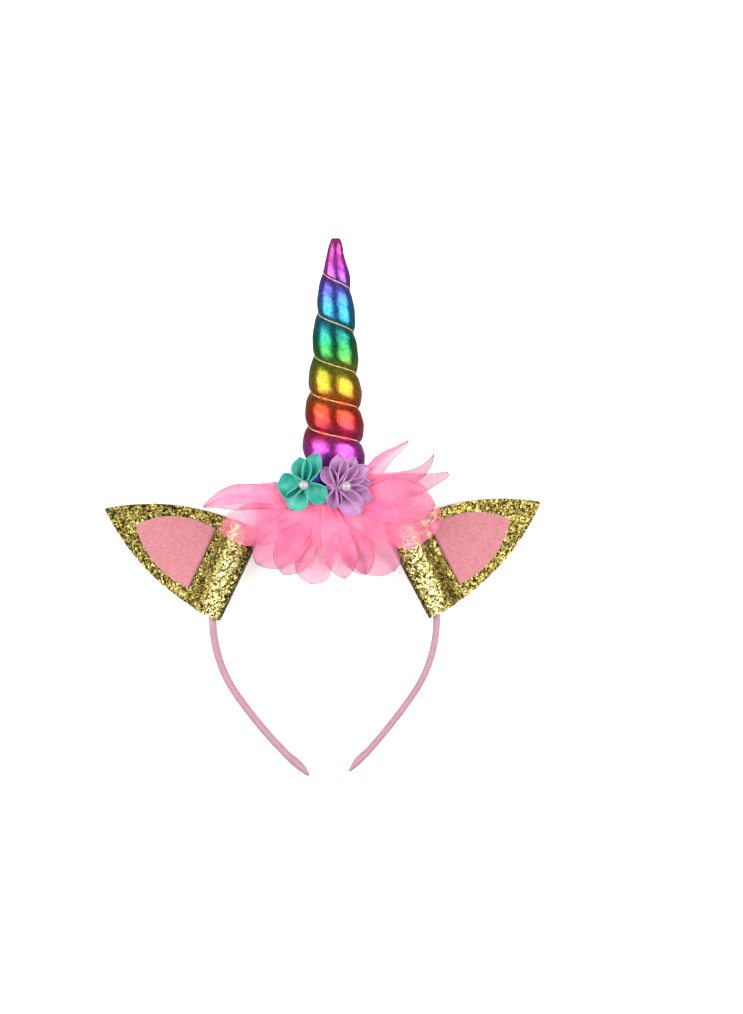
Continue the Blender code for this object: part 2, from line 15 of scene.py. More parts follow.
import bmesh
import bpy
import numpy as np
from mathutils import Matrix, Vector

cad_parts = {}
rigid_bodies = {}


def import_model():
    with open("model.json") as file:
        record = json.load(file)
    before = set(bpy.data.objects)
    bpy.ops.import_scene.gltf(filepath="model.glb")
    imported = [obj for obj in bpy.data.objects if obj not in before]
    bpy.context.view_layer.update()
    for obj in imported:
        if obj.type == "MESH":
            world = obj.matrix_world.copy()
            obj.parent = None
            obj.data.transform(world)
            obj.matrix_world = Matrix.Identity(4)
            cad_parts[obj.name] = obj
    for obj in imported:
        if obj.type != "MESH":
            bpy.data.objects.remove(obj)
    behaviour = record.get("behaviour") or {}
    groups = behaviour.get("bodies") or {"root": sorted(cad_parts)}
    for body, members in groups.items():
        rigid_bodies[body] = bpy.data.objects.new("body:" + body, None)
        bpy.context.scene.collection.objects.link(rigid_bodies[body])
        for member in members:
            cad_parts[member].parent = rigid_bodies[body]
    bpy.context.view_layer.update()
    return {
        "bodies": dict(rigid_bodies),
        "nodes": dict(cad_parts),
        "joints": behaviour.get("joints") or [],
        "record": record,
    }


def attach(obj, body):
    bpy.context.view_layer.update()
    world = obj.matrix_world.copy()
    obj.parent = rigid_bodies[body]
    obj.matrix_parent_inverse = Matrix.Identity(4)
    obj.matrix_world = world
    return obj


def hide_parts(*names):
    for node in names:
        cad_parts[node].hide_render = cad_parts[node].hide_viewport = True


LOG = logging.getLogger("headband")
MM = 0.001
# How bright the studio makes a white surface that faces up, where 1 is white in the picture
STUDIO_LIGHT = 1.9
# Angle between the flat faces of the solid crown, whose middle face carries the mount, in degrees
CROWN_FACET = 9.0
Colour = tuple[float, float, float, float]
Array = np.ndarray
Material = bpy.types.Material
Object = bpy.types.Object


class Held(Enum):
    """How a sheet of cloth is held on the headband."""

    GATHERED = "gathered"
    FOLDED = "folded"
    LAID = "laid"


# Frame and mesh tools


@dataclass(frozen=True)
class RestFrame:
    """Where the headband's own frame lies in the row frame.

    Attributes:
        origin: The crown arc's centre, in metres.
        axes: Its X, Y and Z directions, one a row.
    """

    origin: Array
    axes: Array

    @classmethod
    def from_mount(cls, record: dict[str, Any], inner_height: float) -> "RestFrame":
        """Works the frame out from the flat face under the crown.

        Args:
            record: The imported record, which holds the mount.
            inner_height: Height of that face over the arc's centre, in millimetres.

        Returns:
            The frame: Y runs against the mount's axis, and X stays level.
        """
        mount = next(m for m in record["mounts"] if m["name"] == "crown_underside")
        up = -np.array(mount["axis"], float)
        up /= np.linalg.norm(up)
        right = np.array([1.0, 0.0, 0.0])
        origin = np.array(mount["pos_m"]) - up * inner_height * MM
        return cls(origin, np.array([right, up, np.cross(right, up)]))

    def place(self, points: Array) -> Array:
        """Turns points in millimetres into the row frame, in metres."""
        return self.origin + (np.asarray(points, float) * MM) @ self.axes


def smooth_step(low: float, high: float, value: Array) -> Array:
    """Rises smoothly from 0 at low to 1 at high: 3t² - 2t³ of the clipped share t."""
    share = np.clip((value - low) / (high - low), 0.0, 1.0)
    return share * share * (3.0 - 2.0 * share)


def column(table: Sequence[Sequence[float]], index: int) -> Array:
    """One column of a table of rows."""
    return np.array([row[index] for row in table], float)


def soft_interp(value: Array, places: Array, heights: Array) -> Array:
    """Passes through table values with no corners: a monotone cubic with averaged slopes.

    Args:
        value: Where it is read.
        places: Rising places of the table.
        heights: Values there.

    Returns:
        The Hermite cubic in each span, whose slopes are the harmonic means of the spans' own.
    """
    steps = np.diff(places)
    slopes = np.diff(heights) / steps
    product = slopes[:-1] * slopes[1:]
    total = np.where(np.abs(slopes[:-1] + slopes[1:]) < 1e-12, 1.0, slopes[:-1] + slopes[1:])
    inner = np.where(product > 0, 2 * product / total, 0.0)
    tangent = np.concatenate([[slopes[0]], inner, [slopes[-1]]])
    span = np.clip(np.searchsorted(places, value, side="right") - 1, 0, len(steps) - 1)
    width = steps[span]
    t = np.clip((value - places[span]) / width, 0.0, 1.0)
    start = (1 + 2 * t) * (1 - t) ** 2 * heights[span] + t * (1 - t) ** 2 * width * tangent[span]
    end = t * t * (3 - 2 * t) * heights[span + 1] + t * t * (t - 1) * width * tangent[span + 1]
    return start + end


def grid_quads(rows: int, columns: int, wrap: bool = False) -> Array:
    """Corner numbers of the quads of a grid, row by row.

    Args:
        rows: Number of points along.
        columns: Number of points across.
        wrap: Whether the last column joins the first.

    Returns:
        An array of four corners a quad.
    """
    row = np.arange(rows - 1)[:, None]
    col = np.arange(columns if wrap else columns - 1)[None, :]
    after = (col + 1) % columns
    quads = [row * columns + col, row * columns + after]
    quads += [(row + 1) * columns + after, (row + 1) * columns + col]
    return np.stack([q.ravel() for q in np.broadcast_arrays(*quads)], axis=-1)


def add_mesh(name: str, points: Array, faces: Sequence[Any], uv: Array | None = None) -> Object:
    """Makes a smooth object from points in metres, with its faces turned outwards.

    Args:
        name: The piece's name.
        points: One row a vertex.
        faces: Corner numbers of each face.
        uv: One row a vertex, kept in a map named UVMap.

    Returns:
        The object, linked to the scene.
    """
    mesh = bpy.data.meshes.new(name)
    mesh.from_pydata(points.tolist(), [], [tuple(int(i) for i in f) for f in faces])
    if uv is not None:
        layer = mesh.uv_layers.new(name="UVMap")
        corner = np.empty(len(mesh.loops), np.int32)
        mesh.loops.foreach_get("vertex_index", corner)
        layer.data.foreach_set("uv", uv[corner].astype(np.float32).ravel())
    shape = bmesh.new()
    shape.from_mesh(mesh)
    bmesh.ops.recalc_face_normals(shape, faces=shape.faces)
    shape.to_mesh(mesh)
    shape.free()
    mesh.shade_smooth()
    obj = bpy.data.objects.new(name, mesh)
    bpy.context.scene.collection.objects.link(obj)
    return obj


def add_shell(name: str, front: Array, back: Array, uv: Array) -> Object:
    """Makes a closed sheet from two grids of points in metres.

    Args:
        name: The piece's name.
        front: Grid of its front side.
        back: Grid of its back side, of the same shape.
        uv: Grid of texture places, the same for both sides.

    Returns:
        The object: both grids, and a rim of quads round their edges.
    """
    rows, columns = front.shape[:2]
    index = np.arange(rows * columns).reshape(rows, columns)
    rim = np.concatenate([index[0, :-1], index[:-1, -1], index[-1, :0:-1], index[:0:-1, 0]])
    after = np.roll(rim, -1)
    count = rows * columns
    sides = grid_quads(rows, columns)
    edge = np.stack([rim, after, after + count, rim + count], axis=-1)
    faces = np.concatenate([sides, sides[:, ::-1] + count, edge])
    points = np.concatenate([front.reshape(-1, 3), back.reshape(-1, 3)])
    maps = np.concatenate([uv.reshape(-1, 2), uv.reshape(-1, 2)])
    return add_mesh(name, points, faces, maps)


def add_tube(name: str, rings: Array, uv: Array | None = None) -> Object:
    """Makes a closed tube through rings of points in metres, with one flat face at each end.

    Args:
        name: The piece's name.
        rings: Grid of points, a ring a row.
        uv: Grid of texture places of the same shape.

    Returns:
        The object.
    """
    count, sides = rings.shape[:2]
    faces: list[Any] = grid_quads(count, sides, wrap=True).tolist()
    faces.append(list(range(sides)))
    faces.append([(count - 1) * sides + j for j in range(sides)])
    flat_uv = None if uv is None else uv.reshape(-1, 2)
    return add_mesh(name, rings.reshape(-1, 3), faces, flat_uv)


def grid_normals(grid: Array) -> Array:
    """Unit normals of a grid: the cross product of its row and column directions.

    Args:
        grid: Grid of points.

    Returns:
        Grid of unit directions.
    """
    normals = np.cross(np.gradient(grid, axis=0), np.gradient(grid, axis=1))
    length = np.linalg.norm(normals, axis=-1, keepdims=True)
    return normals / np.maximum(length, 1e-12)


def grid_area(grid: Array) -> float:
    """Area of a grid of points: half the cross product of each quad's diagonals, added up.

    Args:
        grid: Grid of points.

    Returns:
        The area, in the square of the points' own unit.
    """
    one = grid[1:, 1:] - grid[:-1, :-1]
    other = grid[1:, :-1] - grid[:-1, 1:]
    return float(np.linalg.norm(np.cross(one, other), axis=-1).sum() / 2)


def tube_rings(path: Array, radius: Array, sides: int, hint: Array) -> Array:
    """Rings of points round a path.

    Args:
        path: Its points.
        radius: Radius at each point.
        sides: Points in a ring.
        hint: At each point, a direction that the first point of its ring leans towards.

    Returns:
        Grid of points, a ring a row.
    """
    along = np.gradient(path, axis=0)
    along /= np.linalg.norm(along, axis=1, keepdims=True)
    side = hint - (hint * along).sum(axis=1, keepdims=True) * along
    side /= np.linalg.norm(side, axis=1, keepdims=True)
    other = np.cross(along, side)
    turn = np.arange(sides) * 2 * math.pi / sides
    ring = np.cos(turn)[None, :, None] * side[:, None] + np.sin(turn)[None, :, None] * other[:, None]
    return path[:, None] + np.asarray(radius)[:, None, None] * ring


# Finishes


def linear(code: str) -> Colour:
    """Turns an sRGB hex colour into linear red, green, blue and a full alpha."""
    values = [int(code[i : i + 2], 16) / 255 for i in (1, 3, 5)]
    r, g, b = (v / 12.92 if v <= 0.04045 else ((v + 0.055) / 1.055) ** 2.4 for v in values)
    return (r, g, b, 1.0)


def paint(code: str) -> Colour:
    """Turns the colour that a surface shows under the studio's light into the colour of its dye."""
    red, green, blue, alpha = linear(code)
    return (red / STUDIO_LIGHT, green / STUDIO_LIGHT, blue / STUDIO_LIGHT, alpha)


def colour_stops(
    rows: Sequence[tuple[float, str]], turned: Callable[[str], Colour] = paint
) -> list[tuple[float, Colour]]:
    """Turns the sRGB hex colours in rows of a place and a colour, by paint or by linear."""
    return [(place, turned(code)) for place, code in rows]


def per_metre(size: float) -> float:
    """How often a pattern repeats in a metre, where its features are this many millimetres apart."""
    return 1 / (size * MM)


@dataclass
class Graph:
    """A shader tree that a finish adds its nodes to.

    Attributes:
        tree: The tree.
        material: The material that it belongs to, if it isn't the world's.
    """

    tree: Any
    material: Material | None = None

    @classmethod
    def of_material(cls, name: str) -> "Graph":
        """Starts the tree of a new material."""
        material = bpy.data.materials.new(name)
        material.use_nodes = True
        return cls(material.node_tree, material)

    def fill(self, node: Any, inputs: dict[Any, Any]) -> None:
        """Sets a node's inputs, by name or number, to values or to the sockets that feed them."""
        for key, value in inputs.items():
            if isinstance(value, bpy.types.NodeSocket):
                self.tree.links.new(value, node.inputs[key])
            else:
                node.inputs[key].default_value = value

    def add(
        self,
        kind: str,
        inputs: dict[Any, Any] | None = None,
        output: str | int = 0,
        stops: Sequence[tuple[float, Colour]] = (),
        **settings: Any,
    ) -> Any:
        """Adds a node with its settings and links.

        Args:
            kind: The node's type.
            inputs: Its inputs by name or number, each a value or the socket that feeds it.
            output: Name or number of the socket that is wanted.
            stops: Places from 0 to 1 and linear colours, where the node is a ramp.
            settings: Its other properties.

        Returns:
            The output socket.
        """
        node = self.tree.nodes.new("ShaderNode" + kind)
        for name, value in settings.items():
            setattr(node, name, value)
        self.fill(node, inputs or {})
        if stops:
            elements = node.color_ramp.elements
            elements.remove(elements[-1])
            elements[0].position, elements[0].color = stops[0]
            for place, colour in stops[1:]:
                elements.new(place).color = colour
        return node.outputs[output]

    def finish(self, values: dict[str, Any]) -> Material:
        """Gives the material's surface these values and returns the material."""
        self.fill(self.tree.nodes["Principled BSDF"], values)
        return self.material


@dataclass(frozen=True)
class SatinRibbon:
    """Polyester satin ribbon: long floats over a fine weave, so a soft sheen along the thread.

    Attributes:
        name: Material name.
        colour: Colour of its lit face.
        shade: Colour in its hollows, where the ribbon is seen through itself.
        sheen: Weight of the soft light at grazing angles.
        roughness: How far the floats spread a reflection.
        rib: Width of the ribs that its weave shows, in millimetres, and rib_height their height.
            The real threads are finer.
        cloud: Distance between lighter and darker places, in millimetres.
        ripple: Distance between the ribbon's ripples, and ripple_height their height.
    """

    name: str
    colour: str
    shade: str
    sheen: float = 0.25
    roughness: float = 0.42
    rib: float = 0.45
    rib_height: float = 0.05
    cloud: float = 5.0
    ripple: float = 2.4
    ripple_height: float = 0.3

    def make(self) -> Material:
        """Makes the material: its UV runs across the ribbon, so the ribs do too."""
        graph = Graph.of_material(self.name)
        here = graph.add("TexCoord", output="Object")
        weave = {"Vector": graph.add("TexCoord", output="UV"), "Scale": 1.0 / self.rib, "Distortion": 0.6}
        ribs = graph.add("TexWave", weave, "Fac", bands_direction="X")
        cloud = graph.add("TexNoise", {"Vector": here, "Scale": per_metre(self.cloud)}, "Fac")
        tones = colour_stops(((0.36, self.shade), (0.56, self.colour)))
        ripple = graph.add("TexNoise", {"Vector": here, "Scale": per_metre(self.ripple)}, "Fac")
        ribbed = {"Height": ribs, "Strength": 0.10, "Distance": self.rib_height * MM}
        rippled = {"Height": ripple, "Strength": 0.25, "Distance": self.ripple_height * MM}
        rippled["Normal"] = graph.add("Bump", ribbed)
        values = {
            "Base Color": graph.add("ValToRGB", {"Fac": cloud}, "Color", tones),
            "Normal": graph.add("Bump", rippled),
            "Roughness": self.roughness,
            "Specular IOR Level": 0.55,
            "Sheen Weight": self.sheen,
            "Sheen Roughness": 0.35,
        }
        return graph.finish(values)


@dataclass(frozen=True)
class FoilFabric:
    """Metallic foil pressed on a knit, dyed in rainbow bands: mirror-like, but crinkled and grainy.

    Attributes:
        name: Material name.
        crinkle: Distance between crinkles, in millimetres, and crinkle_height their height.
        grain: Width of the knit's stitches under the foil, in millimetres.
        grain_height: How far the foil sinks between stitches.
        wear: Distance between the places where the foil is duller.
        bands: Rows of a share of the horn's height from its base, and the colour there.
    """

    name: str = "rainbow_foil_fabric"
    crinkle: float = 2.2
    crinkle_height: float = 0.4
    grain: float = 0.55
    grain_height: float = 0.1
    wear: float = 1.5
    bands: tuple[tuple[float, str], ...] = (
        # The lowest rows, where the horn sits down among the flowers, are the darkest
        (0.00, "#24245E"),
        (0.095, "#281E74"),
        (0.13, "#8034AC"),
        (0.18, "#E854DC"),
        (0.225, "#EC50BC"),
        (0.262, "#E84870"),
        (0.31, "#F0403A"),
        (0.36, "#EC5834"),
        (0.40, "#E48A30"),
        (0.44, "#CCA030"),
        (0.50, "#A8A834"),
        (0.55, "#4EA046"),
        (0.60, "#289258"),
        (0.65, "#2C9A96"),
        (0.70, "#3694C0"),
        (0.755, "#4290D4"),
        (0.81, "#7474F0"),
        (0.85, "#9C58E4"),
        (0.90, "#F864EC"),
        (1.00, "#F060B4"),
    )

    def make(self) -> Material:
        """Makes the material: UV's second coordinate is the height on the horn, its first the turn."""
        graph = Graph.of_material(self.name)
        here = graph.add("TexCoord", output="Object")
        height = graph.add("SeparateXYZ", {0: graph.add("TexCoord", output="UV")}, "Y")
        dyed = graph.add("ValToRGB", {"Fac": height}, "Color", colour_stops(self.bands, linear))
        cloudy = {"Vector": here, "Scale": per_metre(self.wear), "Detail": 4.0}
        cloud = graph.add("TexNoise", cloudy, "Fac")
        kept = {0: cloud, 1: 0.36, 2: 0.6, 3: 0.46, 4: 0.70}
        worn = graph.add("MapRange", kept, interpolation_type="SMOOTHSTEP")
        crumpled = {"Vector": here, "Scale": per_metre(self.crinkle), "Detail": 3.0, "Distortion": 0.8}
        crinkles = graph.add("TexNoise", crumpled, "Fac")
        coarse = {"Height": crinkles, "Strength": 0.22, "Distance": self.crinkle_height * MM}
        knit = graph.add("TexVoronoi", {"Vector": here, "Scale": per_metre(self.grain)}, "Distance")
        fine = {"Height": knit, "Strength": 0.22, "Distance": self.grain_height * MM}
        fine["Normal"] = graph.add("Bump", coarse)
        mixed = {0: 1.0, 6: dyed, 7: worn}
        values = {
            "Base Color": graph.add("Mix", mixed, 2, data_type="RGBA", blend_type="MULTIPLY"),
            "Normal": graph.add("Bump", fine),
            "Metallic": 0.92,
            "Roughness": 0.29,
        }
        return graph.finish(values)


@dataclass(frozen=True)
class GlitterSheet:
    """Chunky glitter glued on a sheet: flat metal flakes that each face their own way.

    Attributes:
        name: Material name.
        flake: Width of the large flakes, in millimetres. The real ones are finer.
        dust: Width of the fine glitter between them, in millimetres.
        dust_share: Share of the surface where the fine glitter shows.
        tilt: How far a flake leans, as a share of its normal.
        patch: Distance between brighter and duller patches, in millimetres.
        highlight_from_fold: Distance from the fold to the middle of a band along the tube whose
            flakes get brighter tones: a painted highlight of the rounded fold.
        highlight_slant: How much further out that band lies for each millimetre up the ear.
        highlight_half: Half width of that band.
        tones: Rows of a share of the flakes and their colour, from the dullest to the brightest.
    """

    name: str = "gold_glitter_sheet"
    flake: float = 1.0
    dust: float = 0.55
    dust_share: float = 0.34
    tilt: float = 0.33
    patch: float = 3.2
    highlight_from_fold: float = 8.2
    highlight_slant: float = 0.09
    highlight_half: float = 7.2
    tones: tuple[tuple[float, str], ...] = (
        (0.00, "#1E1804"),
        (0.18, "#40340A"),
        (0.40, "#6C5E26"),
        (0.62, "#968846"),
        (0.86, "#C8BA76"),
        (1.00, "#E6DCA0"),
    )

    def make(self) -> Material:
        """Makes the material: a colour and a lean for each cell of two layers of cells.

        A flake's place among the tones is 0.86 of its own random value, more on the band of painted
        highlight along the fold's tube, and a little more or less by the patch that it lies in.
        """
        graph = Graph.of_material(self.name)
        here = graph.add("TexCoord", output="Object")
        flakes = graph.add("TexVoronoi", {"Vector": here, "Scale": per_metre(self.flake)}, "Color")
        dust = graph.add("TexVoronoi", {"Vector": here, "Scale": per_metre(self.dust)}, "Color")
        drawn = graph.add("SeparateXYZ", {0: flakes}, "X")
        large = graph.add("Math", {0: drawn, 1: self.dust_share}, operation="GREATER_THAN")
        cell = graph.add("Mix", {0: large, 6: dust, 7: flakes}, 2, data_type="RGBA", blend_type="MIX")
        on_ear = graph.add("TexCoord", output="UV")
        out, up = (graph.add("SeparateXYZ", {0: on_ear}, axis) for axis in ("X", "Y"))
        # Painted highlight: flakes on a band along the fold's tube get brighter tones, as if the rounded
        # fold caught the light
        slanted = graph.add("Math", {0: up, 1: -self.highlight_slant, 2: out}, operation="MULTIPLY_ADD")
        offset = graph.add("Math", {0: slanted, 1: -self.highlight_from_fold}, operation="ADD")
        away = graph.add("Math", {0: offset}, operation="ABSOLUTE")
        highlight_span = {0: away, 1: 0.0, 2: self.highlight_half, 3: 0.42, 4: -0.02}
        painted_highlight = graph.add("MapRange", highlight_span, interpolation_type="SMOOTHSTEP")
        cloud = graph.add("TexNoise", {"Vector": here, "Scale": per_metre(self.patch)}, "Fac")
        patched = {0: cloud, 1: 0.3, 2: 0.7, 3: -0.13, 4: 0.13}
        patch = graph.add("MapRange", patched, interpolation_type="SMOOTHSTEP")
        own = graph.add("SeparateXYZ", {0: cell}, "Y")
        picked = graph.add("Math", {0: own, 1: 0.86, 2: painted_highlight}, operation="MULTIPLY_ADD")
        tone = graph.add("Math", {0: picked, 1: patch}, operation="ADD")
        lean = graph.add("VectorMath", {0: cell, 1: (0.5, 0.5, 0.5)}, operation="SUBTRACT")
        scaled = graph.add("VectorMath", {0: lean, 3: 2 * self.tilt}, operation="SCALE")
        normal = graph.add("NewGeometry", output="Normal")
        turned = graph.add("VectorMath", {0: normal, 1: scaled}, operation="ADD")
        values = {
            "Base Color": graph.add("ValToRGB", {"Fac": tone}, "Color", colour_stops(self.tones, linear)),
            "Normal": graph.add("VectorMath", {0: turned}, operation="NORMALIZE"),
            "Metallic": 0.9,
            "Roughness": 0.36,
        }
        return graph.finish(values)


@dataclass(frozen=True)
class PressedFelt:
    """Acrylic felt: short pressed fibres with no weave, so fully matt and faintly mottled.

    Attributes:
        name: Material name.
        colour: Colour of most fibres, and shade that of the duller ones.
        fibre: Length of a tuft of fibres, in millimetres. A single fibre is finer.
        fibre_height: How far tufts stand out.
        stretch: How much longer tufts are than wide.
    """

    name: str = "pink_felt"
    colour: str = "#FCA0A8"
    shade: str = "#EC8C98"
    fibre: float = 1.6
    fibre_height: float = 0.3
    stretch: float = 4.0

    def make(self) -> Material:
        """Makes the material: cloudy tone, and fibres as noise stretched one way."""
        graph = Graph.of_material(self.name)
        here = graph.add("TexCoord", output="Object")
        scale = per_metre(self.fibre)
        cloud = graph.add("TexNoise", {"Vector": here, "Scale": scale, "Detail": 6.0}, "Fac")
        stretched = graph.add("Mapping", {"Vector": here, "Scale": (1.0, self.stretch, 1.0)})
        fibres = graph.add("TexNoise", {"Vector": stretched, "Scale": scale, "Distortion": 2.5}, "Fac")
        raised = {"Height": fibres, "Strength": 0.5, "Distance": self.fibre_height * MM}
        tones = colour_stops(((0.36, self.shade), (0.6, self.colour)))
        values = {
            "Base Color": graph.add("ValToRGB", {"Fac": cloud}, "Color", tones),
            "Normal": graph.add("Bump", raised),
            "Roughness": 0.95,
            "Specular IOR Level": 0.15,
            "Sheen Weight": 0.5,
            "Sheen Roughness": 0.6,
        }
        return graph.finish(values)


@dataclass(frozen=True)
class Organza:
    """Sheer nylon organza: one layer tints what is behind it, and layers add up to full pink.

    Attributes:
        name: Material name.
        colour: Colour of gathered cloth, and deep its colour where the folds are tightest.
        single: Colour of one open layer, which is duller than the gathered cloth.
        edge: Colour of the heat-sealed edge, where the melted threads are dense.
        edge_opacity: How much each side of a piece covers along that edge. A piece has two sides.
        edge_width: Width of that edge, in millimetres.
        cloud: Distance between deeper and lighter places, in millimetres.
        weave: Width of the weave's uneven places. The real threads are too fine to show.
        open_tint: How much of an open layer's colour is the single one.
    """

    name: str = "pink_organza"
    colour: str = "#FF8CAE"
    deep: str = "#FF76A4"
    single: str = "#B0527E"
    edge: str = "#9A7090"
    edge_opacity: float = 0.58
    edge_width: float = 0.36
    cloud: float = 9.0
    weave: float = 1.1
    open_tint: float = 0.62

    def make(self) -> Material:
        """Makes the material: UV holds the distance from the cut edge, in mm, and the cover.

        Layers inside the flower, whose edges and open parts don't show, have a negative distance. A
        layer counts as open where its cover lies between that of a faint tip and of gathered cloth.
        """
        graph = Graph.of_material(self.name)
        here = graph.add("TexCoord", output="Object")
        on_cloth = graph.add("TexCoord", output="UV")
        inset, cover = (graph.add("SeparateXYZ", {0: on_cloth}, axis) for axis in ("X", "Y"))
        away = graph.add("Math", {0: inset}, operation="ABSOLUTE")
        melted = {0: away, 1: self.edge_width * 0.6, 2: self.edge_width * 1.4, 3: 1.0, 4: 0.0}
        sealed = graph.add("MapRange", melted, interpolation_type="SMOOTHSTEP")
        outer = graph.add("Math", {0: inset, 1: 0.0}, operation="GREATER_THAN")
        spread = {0: cover, 1: 0.46, 2: 0.63, 3: self.open_tint, 4: 0.0}
        thinner = graph.add("MapRange", spread, interpolation_type="SMOOTHSTEP")
        faint = {0: cover, 1: 0.20, 2: 0.42, 3: 0.0, 4: 1.0}
        seen = graph.add("MapRange", faint, interpolation_type="SMOOTHSTEP")
        tinted = graph.add("Math", {0: thinner, 1: seen}, operation="MULTIPLY")
        open_part = graph.add("Math", {0: outer, 1: tinted}, operation="MULTIPLY")
        cloudy = {"Vector": here, "Scale": per_metre(self.cloud), "Detail": 3.0}
        cloud = graph.add("TexNoise", cloudy, "Fac")
        tones = colour_stops(((0.35, self.deep), (0.62, self.colour)), linear)
        gathered = graph.add("ValToRGB", {"Fac": cloud}, "Color", tones)
        mixed = {0: open_part, 6: gathered, 7: linear(self.single)}
        tone = graph.add("Mix", mixed, 2, data_type="RGBA", blend_type="MIX")
        threads = graph.add("TexNoise", {"Vector": here, "Scale": per_metre(self.weave)}, "Fac")
        uneven = {0: threads, 1: 0.3, 2: 0.7, 3: 0.97, 4: 1.03}
        weave = graph.add("MapRange", uneven, interpolation_type="SMOOTHSTEP")
        woven = graph.add("Math", {0: cover, 1: weave}, operation="MULTIPLY")
        edge = graph.add("Math", {0: sealed, 1: self.edge_opacity}, operation="MULTIPLY")
        rimmed = {0: sealed, 6: tone, 7: paint(self.edge)}
        values = {
            "Base Color": graph.add("Mix", rimmed, 2, data_type="RGBA", blend_type="MIX"),
            "Alpha": graph.add("Math", {0: woven, 1: edge}, operation="MAXIMUM"),
            "Roughness": 0.5,
            "Specular IOR Level": 0.3,
            "Sheen Weight": 0.25,
            "Sheen Roughness": 0.4,
        }
        return graph.finish(values)


@dataclass(frozen=True)
class MetallicThread:
    """Lurex thread: gold foil strips twisted round a core, so bright, with a fine twist.

    Attributes:
        name: Material name.
        colour: Colour of the foil, and shade that of the core between its strips.
        cloud: Distance between lighter and darker places, in millimetres.
    """

    name: str = "gold_thread"
    colour: str = "#EACB92"
    shade: str = "#B89050"
    cloud: float = 0.8

    def make(self) -> Material:
        """Makes the material: metal with a little variation along the strand."""
        graph = Graph.of_material(self.name)
        here = graph.add("TexCoord", output="Object")
        cloud = graph.add("TexNoise", {"Vector": here, "Scale": per_metre(self.cloud)}, "Fac")
        tones = colour_stops(((0.38, self.shade), (0.55, self.colour)), linear)
        tone = graph.add("ValToRGB", {"Fac": cloud}, "Color", tones)
        return graph.finish({"Base Color": tone, "Metallic": 0.6, "Roughness": 0.38})


@dataclass(frozen=True)
class PearlCoat:
    """Moulded bead with a nacre lacquer: white, with a coat that catches a small bright light.

    Attributes:
        name: Material name.
        colour: Colour of the lacquer, and shade its cooler colour.
        cloud: Distance between the two, in millimetres.
    """

    name: str = "pearl_bead"
    colour: str = "#E6DCDE"
    shade: str = "#D8C8D0"
    cloud: float = 2.5

    def make(self) -> Material:
        """Makes the material: a warm and cool cloud under a clear coat."""
        graph = Graph.of_material(self.name)
        here = graph.add("TexCoord", output="Object")
        cloud = graph.add("TexNoise", {"Vector": here, "Scale": per_metre(self.cloud)}, "Fac")
        tones = colour_stops(((0.4, self.shade), (0.6, self.colour)))
        values = {
            "Base Color": graph.add("ValToRGB", {"Fac": cloud}, "Color", tones),
            "Roughness": 0.25,
            "Coat Weight": 0.8,
            "Coat Roughness": 0.08,
            "Sheen Weight": 0.3,
        }
        return graph.finish(values)


@dataclass(frozen=True)
class StudioFloor:
    """Seamless pale paper under the headband, lit a little from below as well, by its glow."""

    name: str = "studio_paper"
    colour: str = "#FAFAFA"
    glow: float = 0.40

    def make(self) -> Material:
        """Makes the material: plain matt white."""
        graph = Graph.of_material(self.name)
        values = {
            "Base Color": linear(self.colour),
            "Emission Color": linear(self.colour),
            "Emission Strength": self.glow,
            "Roughness": 0.9,
            "Specular IOR Level": 0.1,
        }
        return graph.finish(values)


def dress(obj: Object, material: Material, slot: str, *nodes: str) -> Object:
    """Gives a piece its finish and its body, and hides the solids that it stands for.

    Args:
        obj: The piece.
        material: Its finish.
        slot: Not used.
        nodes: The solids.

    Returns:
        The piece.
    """
    obj.data.materials.clear()
    obj.data.materials.append(material)
    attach(obj, "root")
    if nodes:
        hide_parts(*nodes)
    return obj


# Pieces


